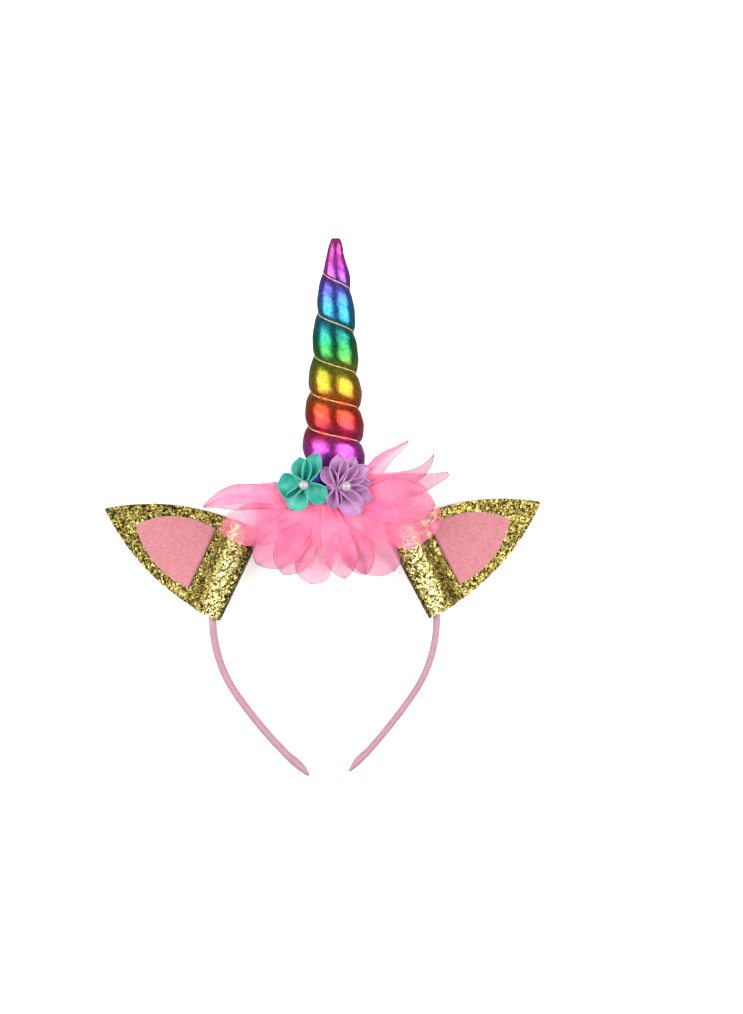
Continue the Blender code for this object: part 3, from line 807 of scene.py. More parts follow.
@dataclass
class Hoop:
    """The flat hoop in its satin sleeve, from one swollen tip over the crown to the other.

    Lengths are in millimetres and the sweep in degrees. The line is the solid's, and the arms are
    slimmer than the solid's.

    Attributes:
        crown_radius: Radius of the half circle over the head.
        straight: Length of the straight stretch below it on each side.
        side_radius: Radius of the stretch after that, which turns inwards by side_sweep.
        left_arm_radius: Radius of the left arm, and left_arm its length. The right arm has its own.
        depth: Width of the band, which lies front to back.
        step: Distance between rings along the band.
        corner: Power that squares the section off: 1 leaves it round.
        tip_lean: How far the swollen tips lean inwards.
        crease: Height of the sleeve's shallow creases.
        girth_radius: Millimetres of ribbon round the section for each radian.
    """

    crown_radius: float = 60.6
    straight: float = 1.6
    side_radius: float = 72.4
    side_sweep: float = 34.5
    left_arm_radius: float = 246.0
    right_arm_radius: float = 320.0
    left_arm: float = 59.5
    right_arm: float = 54.7
    depth: float = 9.5
    left_thickness: float = 4.1
    crown_thickness: float = 4.4
    right_thickness: float = 3.6
    step: float = 0.9
    sides: int = 28
    corner: float = 0.88
    tip_lean: float = 0.45
    crease: float = 0.05
    girth_radius: float = 2.2
    # Rows of a tip: distance from its end, share of the thickness, share of the depth
    tip: tuple[tuple[float, float, float], ...] = (
        (0.0, 0.24, 0.20),
        (0.4, 0.42, 0.36),
        (2.0, 0.62, 0.58),
        (4.5, 0.88, 0.80),
        (7.5, 1.12, 0.97),
        (10.0, 1.16, 1.00),
        (14.0, 1.04, 1.00),
        (19.0, 1.00, 1.00),
    )

    def half(self, side: int, arm: float) -> tuple[Array, Array, Array]:
        """Centre line of one half of the hoop from the crown to its tip.

        The heading turns by distance over radius along each arc in turn.

        Args:
            side: 1 for the right half and -1 for the left.
            arm: Length of the lower arc to the tip.

        Returns:
            Points, directions across the thickness, and distances left to the tip.
        """
        arcs = (
            (self.crown_radius, self.crown_radius * math.pi / 2),
            (1e9, self.straight),
            (self.side_radius, self.side_radius * math.radians(self.side_sweep)),
            (self.left_arm_radius if side < 0 else self.right_arm_radius, arm),
        )
        total = sum(length for _, length in arcs)
        distance = np.linspace(0.0, total, int(total / self.step))
        heading = np.zeros_like(distance)
        start = 0.0
        for radius, length in arcs:
            heading -= np.clip(distance - start, 0.0, length) / radius
            start += length
        middle = (heading[1:] + heading[:-1]) / 2
        gap = np.diff(distance)
        x = np.concatenate([[0.0], np.cumsum(gap * np.cos(middle))])
        y = self.crown_radius + np.concatenate([[0.0], np.cumsum(gap * np.sin(middle))])
        points = np.stack([side * x, y, np.zeros_like(x)], axis=-1)
        across = np.stack([-side * np.sin(heading), np.cos(heading), np.zeros_like(x)], axis=-1)
        return points, across, total - distance

    def build(self, frame: RestFrame) -> Object:
        """Sweeps a rounded oblong along both halves.

        The section is a superellipse: its cosine and sine are raised to a power below one, which
        squares it off. The thickness goes from the crown's to the arm's, fastest near the crown, and
        shallow waves over the section are the sleeve's creases.

        Args:
            frame: Where the headband lies.

        Returns:
            The sleeve, whose UV is in millimetres along it and round it.
        """
        turn = np.arange(self.sides) * 2 * math.pi / self.sides
        round_t = np.sign(np.cos(turn)) * np.abs(np.cos(turn)) ** self.corner
        round_d = np.sign(np.sin(turn)) * np.abs(np.sin(turn)) ** self.corner
        rings, lengths = [], []
        for side, arm, thick in (
            (-1, self.left_arm, self.left_thickness),
            (1, self.right_arm, self.right_thickness),
        ):
            points, across, left = self.half(side, arm)
            share = (1 - left / left[0]) ** 0.7
            tip_t = soft_interp(left, column(self.tip, 0), column(self.tip, 1))
            tip_d = soft_interp(left, column(self.tip, 0), column(self.tip, 2))
            half_t = (self.crown_thickness + (thick - self.crown_thickness) * share) * tip_t / 2
            half_d = self.depth / 2 * tip_d
            inward = self.tip_lean * smooth_step(16.0, 8.0, left) * smooth_step(0.0, 6.0, left)
            points = points - across * inward[:, None]
            ring = points[:, None] + across[:, None] * (half_t[:, None] * round_t)[..., None]
            waves = np.sin(left[:, None] * 0.9 + 3 * turn) * np.sin(left[:, None] * 0.23)
            height = half_d[:, None] * round_d + self.crease * waves
            ring = ring + np.array([0, 0, 1.0]) * height[..., None]
            rings.append(ring[::-1] if side < 0 else ring[1:])
            lengths.append(left)
        grid = np.concatenate(rings)
        reach = np.arange(len(grid)) * self.step
        around = (turn * self.girth_radius)[None, :]
        uv = np.stack(np.broadcast_arrays(reach[:, None], around), axis=-1)
        return add_tube("hoop_satin_sleeve", frame.place(grid), uv)

    def dress(self, frame: RestFrame) -> Object:
        """Builds the sleeve and finishes it in pink satin."""
        satin = SatinRibbon("pink_satin", "#E2A9BB", "#DCA0B4", sheen=0.15, roughness=0.5)
        return dress(self.build(frame), satin.make(), "pink_satin", "headband")


@dataclass
class Horn:
    """The stuffed horn, drawn in by its thread into a helix of plump lobes.

    Lengths are in millimetres.

    Attributes:
        base_y: Height of its flat base, and tip_y that of its tip.
        base_x: Where its axis stands at the base, and tip_x where at the tip.
        groove: Depth of the thread's groove, as a share of the radius.
        thread_end: Turns of the thread up to its knot, past which the groove fades within groove_fade.
        gather: Height of the small gathers beside the groove, and gathers their number round the horn.
        dimple: Depth of the lobes' soft dimples, as a share of the radius.
        strand: Radius of a loose strand, and strand_share what is left of it where two are twisted.
        thread_seat: How far the thread's middle lies off the groove's floor, beyond that radius.
        twist_pitch: Length of thread in which its strands go once round each other.
        samples: Points of the thread in a turn of the horn.
    """

    base_y: float = 63.1
    tip_y: float = 204.0
    base_x: float = 4.6
    tip_x: float = 6.2
    groove: float = 0.225
    thread_end: float = 7.5
    groove_fade: float = 0.5
    gather: float = 0.14
    gathers: int = 23
    dimple: float = 0.006
    sides: int = 112
    rows_per_turn: int = 26
    strand: float = 0.36
    strand_share: float = 0.62
    strand_sides: int = 6
    thread_seat: float = 0.30
    twist_pitch: float = 2.1
    samples: int = 260
    # Rows of the outline: height, outer radius
    outline: tuple[tuple[float, float], ...] = (
        (40.0, 17.1),
        (75.0, 17.0),
        (93.0, 16.8),
        (107.0, 15.9),
        (120.0, 15.0),
        (136.0, 13.2),
        (150.0, 12.1),
        (163.0, 10.9),
        (176.0, 9.2),
        (184.0, 7.9),
        (190.0, 6.2),
        (195.0, 4.9),
        (199.0, 4.0),
        (202.0, 3.1),
        (203.5, 2.4),
        (204.0, 1.5),
        (230.0, 0.9),
    )
    # Heights where the thread crosses the middle of the front, one turn apart
    crossings: tuple[float, ...] = (
        44.0, 62.5, 80.6, 98.8, 117.2, 136.2, 158.9, 181.3, 201.0, 219.0, 237.0,
    )

    def height(self, turns: Array) -> Array:
        """Height at a number of turns of the thread."""
        return soft_interp(turns, np.arange(len(self.crossings), dtype=float), np.array(self.crossings))

    def turns(self, height: Array) -> Array:
        """Number of turns of the thread below a height."""
        return soft_interp(height, np.array(self.crossings), np.arange(len(self.crossings), dtype=float))

    def radius(self, turns: Array, lobe: Array, angle: Array) -> Array:
        """Radius from the outline and the place across a lobe.

        The groove is as deep as a share of the radius and fades out past the thread's end. The lobe
        rises out of it as a half circle does: with the root of four times its share times the rest.
        Gathers run out of the groove as small waves round the horn that die away up the lobe.

        Args:
            turns: Turns of the thread below each point.
            lobe: Share of the way from the groove below to the groove above.
            angle: Angle from the front towards the right.

        Returns:
            The radius at each point.
        """
        height = self.height(turns)
        outer = soft_interp(height, column(self.outline, 0), column(self.outline, 1))
        swell = np.sqrt(np.clip(4 * lobe * (1 - lobe), 0, 1))
        drawn = 1 - smooth_step(self.thread_end, self.thread_end + self.groove_fade, turns)
        waves = np.sin(self.gathers * angle + 2.5 * np.sin(3 * angle)) * np.sin(9 * angle + 1.0)
        pull = self.gather * (1 - swell) * np.clip(swell * 4, 0, 1) * waves * drawn
        dimple = self.dimple * np.sin(4 * angle + 7 * lobe + height * 0.4)
        return outer * (1 - self.groove * drawn * (1 - swell) + dimple * swell) + pull

    def point(self, turns: Array, angle: Array, radius: Array) -> Array:
        """Point at an angle from the front towards the right, round the leaning axis.

        Args:
            turns: Turns of the thread below each point.
            angle: Angle from the front.
            radius: Distance from the axis.

        Returns:
            Grid of points in the headband's frame.
        """
        height = self.height(turns)
        share = (height - self.base_y) / (self.tip_y - self.base_y)
        centre = self.base_x + (self.tip_x - self.base_x) * share
        return np.stack([centre + radius * np.sin(angle), height, radius * np.cos(angle)], axis=-1)

    def build_body(self, frame: RestFrame) -> Object:
        """Makes the horn on a grid whose rows run along the thread, trimmed flat at its ends.

        Turns at an angle are those at the front less the angle's share of a turn, so a row's last
        point joins the first point of the row one whole turn below.

        Args:
            frame: Where the headband lies.

        Returns:
            The body, whose UV is the share of a turn round it and the share of its height.
        """
        per_turn, sides = self.rows_per_turn, self.sides
        last = per_turn * (len(self.crossings) - 1)
        row = np.arange(last + 1)[:, None] / per_turn
        angle = np.arange(sides)[None, :] * 2 * math.pi / sides
        turns = np.clip(row - angle / (2 * math.pi), 0, len(self.crossings) - 1)
        radius = self.radius(turns, np.mod(row, 1.0) + 0 * angle, angle + 0 * row)
        points = self.point(turns, angle + 0 * row, radius)
        i, j = np.meshgrid(np.arange(per_turn, last), np.arange(sides), indexing="ij")
        after = (j + 1) % sides
        drop = np.where(j + 1 == sides, per_turn, 0)
        quads = np.stack(
            [
                i * sides + j,
                (i - drop) * sides + after,
                (i + 1 - drop) * sides + after,
                (i + 1) * sides + j,
            ],
            axis=-1,
        ).reshape(-1, 4)
        shape = bmesh.new()
        rough = bpy.data.meshes.new("horn_grid")
        rough.from_pydata(points.reshape(-1, 3).tolist(), [], quads.tolist())
        shape.from_mesh(rough)
        bmesh.ops.delete(shape, geom=[v for v in shape.verts if not v.link_faces], context="VERTS")
        for height, outwards in ((self.base_y, -1), (self.tip_y, 1)):
            bmesh.ops.bisect_plane(
                shape,
                geom=list(shape.verts) + list(shape.edges) + list(shape.faces),
                dist=1e-4,
                plane_co=(0, height, 0),
                plane_no=(0, outwards, 0),
                clear_outer=True,
            )
            rim = [e for e in shape.edges if e.is_boundary and abs(e.verts[0].co.y - height) < 1e-3]
            bmesh.ops.holes_fill(shape, edges=rim, sides=0)
        shape.to_mesh(rough)
        shape.free()
        count = len(rough.vertices)
        flat = np.empty(count * 3, np.float32)
        rough.vertices.foreach_get("co", flat)
        points = flat.reshape(-1, 3).astype(float)
        share = (points[:, 1] - self.base_y) / (self.tip_y - self.base_y)
        centre = self.base_x + (self.tip_x - self.base_x) * share
        around = np.arctan2(points[:, 0] - centre, points[:, 2]) / (2 * math.pi)
        faces = [tuple(face.vertices) for face in rough.polygons]
        return add_mesh("horn_foil", frame.place(points), faces, np.stack([around, share], axis=-1))

    def build_thread(self, frame: RestFrame) -> Object:
        """Lays two strands in the groove, twisted round each other, as one piece.

        Each strand's centre circles the groove's line at its own radius, a turn for each twist pitch
        of thread, so the strands touch along the line.

        Args:
            frame: Where the headband lies.

        Returns:
            The thread.
        """
        first = float(self.turns(np.array(self.base_y + 1.2)))
        turns = np.arange(first, self.thread_end, 1 / self.samples)
        angle = -turns * 2 * math.pi
        floor = self.radius(turns, 0.0 * turns, angle)
        lead = self.point(turns, angle, floor + self.thread_seat + self.strand)
        reach = np.concatenate([[0.0], np.cumsum(np.linalg.norm(np.diff(lead, axis=0), axis=1))])
        outward = np.stack([np.sin(angle), 0 * angle, np.cos(angle)], axis=-1)
        along = np.gradient(lead, axis=0)
        along /= np.linalg.norm(along, axis=1, keepdims=True)
        upward = np.cross(along, outward)
        thin = self.strand * self.strand_share
        pieces = []
        for start in (0.0, math.pi):
            turn = reach / self.twist_pitch * 2 * math.pi + start
            offset = np.cos(turn)[:, None] * outward + np.sin(turn)[:, None] * upward
            path = lead + thin * offset
            pieces.append(tube_rings(path, np.full(len(path), thin), self.strand_sides, upward))
        count, sides = pieces[0].shape[:2]
        faces: list[Any] = []
        for number in range(2):
            shift = number * count * sides
            faces += (grid_quads(count, sides, wrap=True) + shift).tolist()
            faces.append([shift + k for k in range(sides)])
            faces.append([shift + (count - 1) * sides + k for k in range(sides)])
        points = frame.place(np.concatenate([p.reshape(-1, 3) for p in pieces]))
        return add_mesh("horn_thread", points, faces)

    def dress(self, frame: RestFrame) -> list[Object]:
        """Builds the horn and its thread and gives them their finishes.

        Args:
            frame: Where the headband lies.

        Returns:
            The two pieces.
        """
        body = dress(self.build_body(frame), FoilFabric().make(), "rainbow_foil_fabric", "horn")
        thread = self.build_thread(frame)
        dress(thread, MetallicThread().make(), "gold_thread", "gold_thread")
        return [body, thread]


@dataclass
class Ear:
    """One glitter ear: a double leaf folded round the hoop, with a felt leaf on its front.

    Lengths are in millimetres and angles in degrees.

    Attributes:
        side: Which ear it is, "left" or "right".
        fold: Place of the fold's middle.
        angle: Direction from the fold to the point.
        seed: Start of its random draws.
        length: From the fold to the point, and half_base the half width at the fold.
        arc_start: Distance from the fold where the sides start to close in arcs.
        sheet: Thickness of the glitter sheet.
        droop: Angle by which the ear leans behind the hoop, from droop_start on.
        nose: Depth of the rounded fold, and half_hollow half of its inner height.
        flake: Distance between points on the sheet, about one to a flake.
        flake_shift: How far a point strays across the sheet, and flake_rise how far out of it.
        least_half: Least half width of the sheet at its point, and least_felt that of the felt.
        felt_start: Distance from the fold to the felt, which is felt_length long, felt_thick thick and
            2 felt_half wide where its arcs start.
        felt_seat: Gap between the sheet and the felt, and felt_lift how far more its rim stands off.
        felt_edge: Thickness of the felt at its rim, and felt_roll the width of its rounded rim.
        felt_uneven: Height of the felt's soft unevenness.
    """

    side: str
    fold: tuple[float, float]
    angle: float
    seed: int
    length: float = 81.9
    half_base: float = 26.4
    arc_start: float = 6.0
    sheet: float = 1.1
    droop: float = 12.78
    droop_start: float = 14.0
    nose: float = 2.6
    half_hollow: float = 5.4
    felt_start: float = 22.0
    felt_length: float = 40.6
    felt_arc_start: float = 26.0
    felt_half: float = 17.9
    felt_thick: float = 1.2
    felt_seat: float = 0.32
    felt_lift: float = 0.15
    felt_edge: float = 0.35
    felt_roll: float = 0.55
    felt_uneven: float = 0.06
    flake: float = 0.8
    flake_shift: float = 0.20
    flake_rise: float = 0.05
    least_half: float = 0.12
    least_felt: float = 0.15
    fold_steps: int = 18
    # Rows of the folded sheet: distance from the fold, inner half height
    hollow: tuple[tuple[float, float], ...] = (
        (2.6, 5.40),
        (11.0, 5.40),
        (13.8, 3.75),
        (16.8, 1.50),
        (19.6, 0.12),
        (23.0, 0.03),
        (90.0, 0.03),
    )

    def leaf(self, distance: Array, length: float, arc_start: float, half: float) -> Array:
        """Half width of a leaf whose sides are arcs of a circle that meet at its point.

        Args:
            distance: Distance from the fold.
            length: Where the point lies.
            arc_start: Where the arcs start.
            half: Half width there.

        Returns:
            The half width at each distance.
        """
        reach = length - arc_start
        radius = (reach**2 + half**2) / (2 * half)
        offset = np.clip(distance - arc_start, 0, reach)
        return np.sqrt(radius**2 - offset**2) - (radius - half)

    def middle(self, distance: Array) -> Array:
        """Height of the ear's middle, which droops behind the hoop beyond the fold's tube."""
        return -np.clip(distance - self.droop_start, 0, None) * math.tan(math.radians(self.droop))

    def turn_into_place(self, points: Array) -> Array:
        """Turns points drawn along X from the fold to lie along the ear.

        Args:
            points: Points by distance from the fold, place across the ear and height.

        Returns:
            The points in the headband's frame.
        """
        turn = math.radians(self.angle)
        x = self.fold[0] + points[..., 0] * math.cos(turn) - points[..., 1] * math.sin(turn)
        y = self.fold[1] + points[..., 0] * math.sin(turn) + points[..., 1] * math.cos(turn)
        return np.stack([x, y, points[..., 2]], axis=-1)

    def profile(self) -> tuple[Array, Array]:
        """Inner and outer lines of the folded sheet, from the back's tip round the fold to the front's.

        Returns:
            Two arrays of distance from the fold and height, of the same length.
        """
        straight = np.linspace(self.length, self.nose, int((self.length - self.nose) / self.flake))
        half = soft_interp(straight, column(self.hollow, 0), column(self.hollow, 1))
        bend = np.linspace(-math.pi / 2, math.pi / 2, self.fold_steps)[1:-1]
        round_fold = [self.nose * (1 - np.cos(bend)), self.half_hollow * np.sin(bend)]
        back = np.stack([straight, -half], axis=-1)
        front = np.stack([straight[::-1], half[::-1]], axis=-1)
        inner = np.concatenate([back, np.stack(round_fold, axis=-1), front])
        along = np.gradient(inner, axis=0)
        along /= np.linalg.norm(along, axis=1, keepdims=True)
        outer = inner + self.sheet * np.stack([-along[:, 1], along[:, 0]], axis=-1)
        drop = self.middle(inner[:, 0])[:, None] * np.array([0.0, 1.0])
        return inner + drop, outer + self.middle(outer[:, 0])[:, None] * np.array([0.0, 1.0])

    def build_leaf(self, frame: RestFrame) -> Object:
        """Makes the folded sheet as one closed shell with a rough, flaky outer side.

        The outer side's points move at random by a part of a flake, so each small face leans its own
        way as a glued flake does.

        Args:
            frame: Where the headband lies.

        Returns:
            The sheet, whose UV is the distance from the fold, and the place up the ear as it is at the
            ear's base, both in millimetres.
        """
        inner, outer = self.profile()
        share = np.linspace(-1.0, 1.0, int(2 * self.half_base / self.flake))
        grids = []
        for line in (outer, inner):
            distance = np.clip(line[:, 0], 0.0, self.length - 0.02)
            width = self.leaf(distance, self.length, self.arc_start, self.half_base)
            across = np.maximum(width, self.least_half)[:, None] * share
            grids.append(np.stack(np.broadcast_arrays(line[:, :1], across, line[:, 1:]), axis=-1))
        chance = np.random.default_rng(self.seed)
        stray = np.array([self.flake_shift, self.flake_shift, self.flake_rise])
        jitter = chance.uniform(-1.0, 1.0, grids[0].shape) * stray
        narrow = smooth_step(0.0, 6.0, self.length - grids[0][..., :1])
        edge = 1.0 - 0.6 * (np.abs(share) > 0.999)[None, :, None]
        grids[0] = grids[0] + jitter * narrow * edge
        front, back = (frame.place(self.turn_into_place(g)) for g in grids)
        upward = 1.0 if self.side == "right" else -1.0
        height = upward * self.half_base * share
        uv = np.stack(np.broadcast_arrays(inner[:, :1], height[None, :]), axis=-1)
        leaf = add_shell(f"ear_{self.side}_glitter", front, back, uv)
        leaf.data.shade_flat()
        return leaf

    def build_felt(self, frame: RestFrame) -> Object:
        """Makes the felt leaf: a pillow-edged slab on the ear's front.

        Its thickness falls off near the outline as the quarter of a circle does, and its surface has
        a soft unevenness of pressed fibre.

        Args:
            frame: Where the headband lies.

        Returns:
            The felt.
        """
        rows, columns = 64, 44
        s = np.linspace(0.0, 1.0, rows)
        distance = self.felt_start + self.felt_length * np.sin(s * math.pi / 2)
        end = self.felt_start + self.felt_length
        half = self.leaf(distance, end, self.felt_arc_start, self.felt_half)
        half = np.maximum(half, self.least_felt)
        t = np.sin(np.linspace(-1.0, 1.0, columns) * math.pi / 2)
        x = distance[:, None] + 0 * t[None, :]
        y = half[:, None] * t[None, :]
        y = y + 0.16 * np.sin(x * 1.7 + self.seed) * np.abs(t) ** 3
        from_side = half[:, None] * (1 - np.abs(t))
        from_edge = np.minimum(from_side, np.minimum(x - self.felt_start, (end - x) * 1.4))
        roll = np.sqrt(np.clip(1 - (1 - np.clip(from_edge / self.felt_roll, 0, 1)) ** 2, 0, 1))
        uneven = self.felt_uneven * np.sin(x * 0.9 + 1.3 * np.sin(y * 0.6)) * np.sin(y * 0.8 + 0.5)
        seat = self.middle(x) + self.sheet + self.felt_seat
        low = seat + self.felt_lift * (1 - roll)
        high = seat + self.felt_edge + (self.felt_thick - self.felt_edge + uneven) * roll
        grids = [np.stack([x, y, z], axis=-1) for z in (high, low)]
        front, back = (frame.place(self.turn_into_place(g)) for g in grids)
        return add_shell(f"ear_{self.side}_felt", front, back, np.stack([x, y], axis=-1))

    def dress(self, frame: RestFrame, glitter: Material, felt: Material) -> list[Object]:
        """Builds the leaf and the felt and gives them their finishes.

        Args:
            frame: Where the headband lies.
            glitter: The sheet's finish.
            felt: The felt's finish.

        Returns:
            The two pieces.
        """
        leaf = dress(self.build_leaf(frame), glitter, "gold_glitter_sheet", f"ear_{self.side}")
        inner, _ = self.profile()
        along = np.linalg.norm(np.diff(inner, axis=0), axis=1)
        distance = np.clip(inner[:, 0], 0, self.length)
        width = self.leaf(distance, self.length, self.arc_start, self.half_base)
        pad = dress(self.build_felt(frame), felt, "pink_felt", f"ear_felt_{self.side}")
        distance = np.linspace(self.felt_start, self.felt_start + self.felt_length, 200)
        half = self.leaf(distance, distance[-1], self.felt_arc_start, self.felt_half)
        return [leaf, pad]


@dataclass(frozen=True)
class SheerPetal:
    """One organza petal, from its gathered root to its tip.

    Attributes:
        tip: Place of the tip.
        half: Greatest half width.
        lift: How far the tip stands over the common droop.
        cup: How far the sides curl up, as a share of the half width.
        twist: Lean of the petal about its middle line at the tip, in degrees.
        level: Height of the root over the lowest layer.
        phase: Start of its ruffles, so that no two are alike.
        node: The solid that it stands for, if it has one.
        widest: Share of the length where a plain petal is widest.
        blunt: How round a plain petal's tip is: 1 tapers to a point and 0.5 is round.
        bow: How far a plain petal's middle line bows to the left of its way out.
        spine: Rows of a point on its middle line and the half width there. They take the place of the
            swell, the close and the bow of a plain petal.
        tip_cover: How much each side of it covers at the tip.
        fold: How far in, as a share of the half width, it is folded back and so denser. The fold
            runs along its left side, or along its right side where this is negative.
        sealed: Whether its cut edge shows.
    """

    tip: tuple[float, float]
    half: float
    lift: float
    cup: float
    twist: float
    level: float
    phase: float
    node: str = ""
    widest: float = 0.64
    blunt: float = 0.5
    bow: float = 0.0
    spine: tuple[tuple[float, float, float], ...] = ()
    tip_cover: float = 0.44
    fold: float = 0.0
    sealed: bool = True


@dataclass
class OrganzaFlower:
    """The sheer flower: layers of gathered petals round an oval stitched centre.

    Lengths are in millimetres and angles in degrees.

    Attributes:
        centre: Middle of the oval centre, and core_half its half width and half height.
        back_z: Height of its back over the hoop's middle, and front_z that of its front.
        stem: Where the stitched stem meets the crown, with its foot at stem_back.
        lowest: How far the lowest layer lies over the back.
        thickness: Thickness of the cloth.
        root_half: Half width of a petal where it leaves the centre.
        rise: How far the layers swell up, and fall how far their ends sink.
        root_cover: How much each side of a petal covers at its gathered root.
        pleat: Height of the pleats at the root, and soft_fold that of the broad folds further out.
        ruffle: Height of the ruffles at the sides, and tip_wave that of the wave at the tip.
        least_cut: Least width of a petal's cut piece.
        filler_count: Number of short petals, from first_angle round to last_angle, drawn from seed.
    """

    centre: tuple[float, float] = (1.5, 66.0)
    core_half: tuple[float, float] = (16.5, 6.6)
    back_z: float = 17.6
    front_z: float = 23.6
    stem: tuple[float, float] = (2.0, 57.2)
    stem_back: float = 5.1
    lowest: float = 0.6
    thickness: float = 0.22
    rows: int = 60
    columns: int = 34
    root_half: float = 4.2
    rise: float = 3.0
    fall: float = 8.6
    root_cover: float = 0.63
    pleat: float = 0.30
    soft_fold: float = 0.5
    ruffle: float = 0.75
    tip_wave: float = 0.6
    least_cut: float = 10.4
    # The long petals, clockwise from the upper right: tip, half width, lift, cup, twist, level, phase
    # and solid, and then widest, blunt and bow for a plain one
    petals: tuple[SheerPetal, ...] = (
        SheerPetal(
            (44.7, 96.5), 4.1, 2.0, 0.35, 10, 3.4, 0.3, "organza_petal_01",
            spine=(
                (13.0, 70.0, 3.2), (20.3, 73.9, 3.8), (25.1, 79.1, 4.2), (29.9, 84.7, 4.2),
                (34.1, 88.7, 3.3), (38.9, 91.8, 2.2), (42.6, 94.5, 1.3), (44.9, 96.7, 0.35),
            ),
            tip_cover=0.50,
            fold=0.9,
        ),
        SheerPetal(
            (58.5, 89.2), 4.3, 2.0, 0.25, 6, 2.4, 1.1, "organza_petal_02",
            spine=(
                (14.0, 68.0, 3.8), (25.6, 71.3, 4.4), (33.1, 74.3, 4.8), (40.5, 75.9, 4.4),
                (47.4, 77.7, 3.7), (52.2, 80.4, 2.9), (55.4, 83.6, 2.0), (57.5, 86.5, 1.1),
                (58.7, 89.4, 0.35),
            ),
            tip_cover=0.46,
        ),
        SheerPetal(
            (66.4, 78.2), 5.9, 1.0, 0.12, 4, 1.2, 2.0, "organza_petal_03",
            spine=(
                (14.0, 66.5, 4.0), (24.6, 69.0, 4.8), (32.5, 70.8, 6.2), (40.5, 72.2, 6.8),
                (47.4, 73.0, 6.2), (53.8, 74.3, 4.9), (59.1, 75.8, 3.4), (63.3, 77.0, 2.4),
                (66.8, 78.2, 0.9),
            ),
            tip_cover=0.46,
        ),
        SheerPetal((59.0, 61.6), 12.0, 0.0, 0.10, 0, 4.05, 2.9, "organza_petal_04", 0.62, 0.60, 1.5),
        SheerPetal(
            (62.2, 52.4), 15.5, 0.0, 0.10, -6, 0.0, 3.7, "organza_petal_05", 0.66, 0.46, -2.0,
            tip_cover=0.24,
            sealed=False,
        ),
        SheerPetal((38.0, 26.8), 12.5, 0.0, 0.16, 4, 1.35, 4.4, "organza_petal_06", 0.66, 0.50, -2.5),
        SheerPetal((22.6, 25.4), 9.0, 0.5, 0.18, -6, 2.7, 5.2, "organza_petal_07", 0.66, 0.66, 1.0),
        SheerPetal((11.2, 23.0), 9.0, 0.5, 0.15, 5, 4.05, 6.1, "organza_petal_08", 0.66, 0.70, 0.5),
        SheerPetal((-6.6, 19.8), 10.5, 0.5, 0.16, 0, 0.0, 6.8, "organza_petal_09", 0.72, 0.48, -1.0),
        SheerPetal((-22.0, 25.2), 10.5, 0.5, 0.15, 5, 1.35, 7.7, "organza_petal_10", 0.66, 0.60, -1.0),
        SheerPetal((-36.4, 31.0), 12.0, 0.0, 0.12, -4, 2.7, 8.4, "organza_petal_11", 0.66, 0.60, 1.5),
        SheerPetal(
            (-55.6, 48.0), 12.0, 0.0, 0.12, 4, 2.2, 9.3, "organza_petal_12", 0.60, 0.75, 2.0,
            tip_cover=0.24,
            sealed=False,
        ),
        SheerPetal(
            (-64.2, 61.2), 6.2, 1.0, 0.12, -6, 4.6, 9.9, "organza_petal_13",
            spine=(
                (-12.0, 66.6, 4.5), (-23.3, 66.4, 5.6), (-30.7, 67.1, 6.5), (-38.1, 67.1, 6.9),
                (-44.5, 66.8, 6.9), (-50.4, 65.9, 6.1), (-55.7, 64.6, 4.6), (-59.9, 63.1, 2.7),
                (-64.5, 60.9, 0.4),
            ),
            tip_cover=0.57,
            fold=-1.55,
        ),
    )
    # Shorter petals that fill the flower towards its centre
    filler_count: int = 14
    first_angle: float = -180.0
    last_angle: float = 6.0
    seed: int = 5

    def core_edge(self, way: Array, sideways: Array, offset: Array) -> Array:
        """Distance from the centre to the oval's edge along a way, for lines offset sideways.

        It is the larger root of the quadratic that the oval's equation gives.

        Args:
            way: Unit direction out of the centre.
            sideways: Unit direction across it.
            offset: How far to the side each line runs.

        Returns:
            The distance for each line.
        """
        direction = way / np.array(self.core_half)
        across = offset[:, None] * sideways / np.array(self.core_half)
        a = direction @ direction
        b = across @ direction
        c = (across**2).sum(axis=1) - 1.0
        return (-b + np.sqrt(np.maximum(b**2 - a * c, 0.0))) / a

    def droop(self, x: Array, y: Array) -> Array:
        """Height of the layers over their roots: a rise, then a fall with the square of the reach.

        Args:
            x: Places across.
            y: Places up.

        Returns:
            The height at each place, with the ruffles that all layers share.
        """
        away = np.hypot(x - self.centre[0], y - self.centre[1])
        share = np.clip((away - 12.0) / 55.0, 0, 1.2)
        turn = np.arctan2(y - self.centre[1], x - self.centre[0])
        ruffle = 1.7 * share * np.sin(11 * turn + 2.0 * share)
        return self.rise * np.sin(math.pi * np.clip(share, 0, 1)) - self.fall * share**2 + ruffle

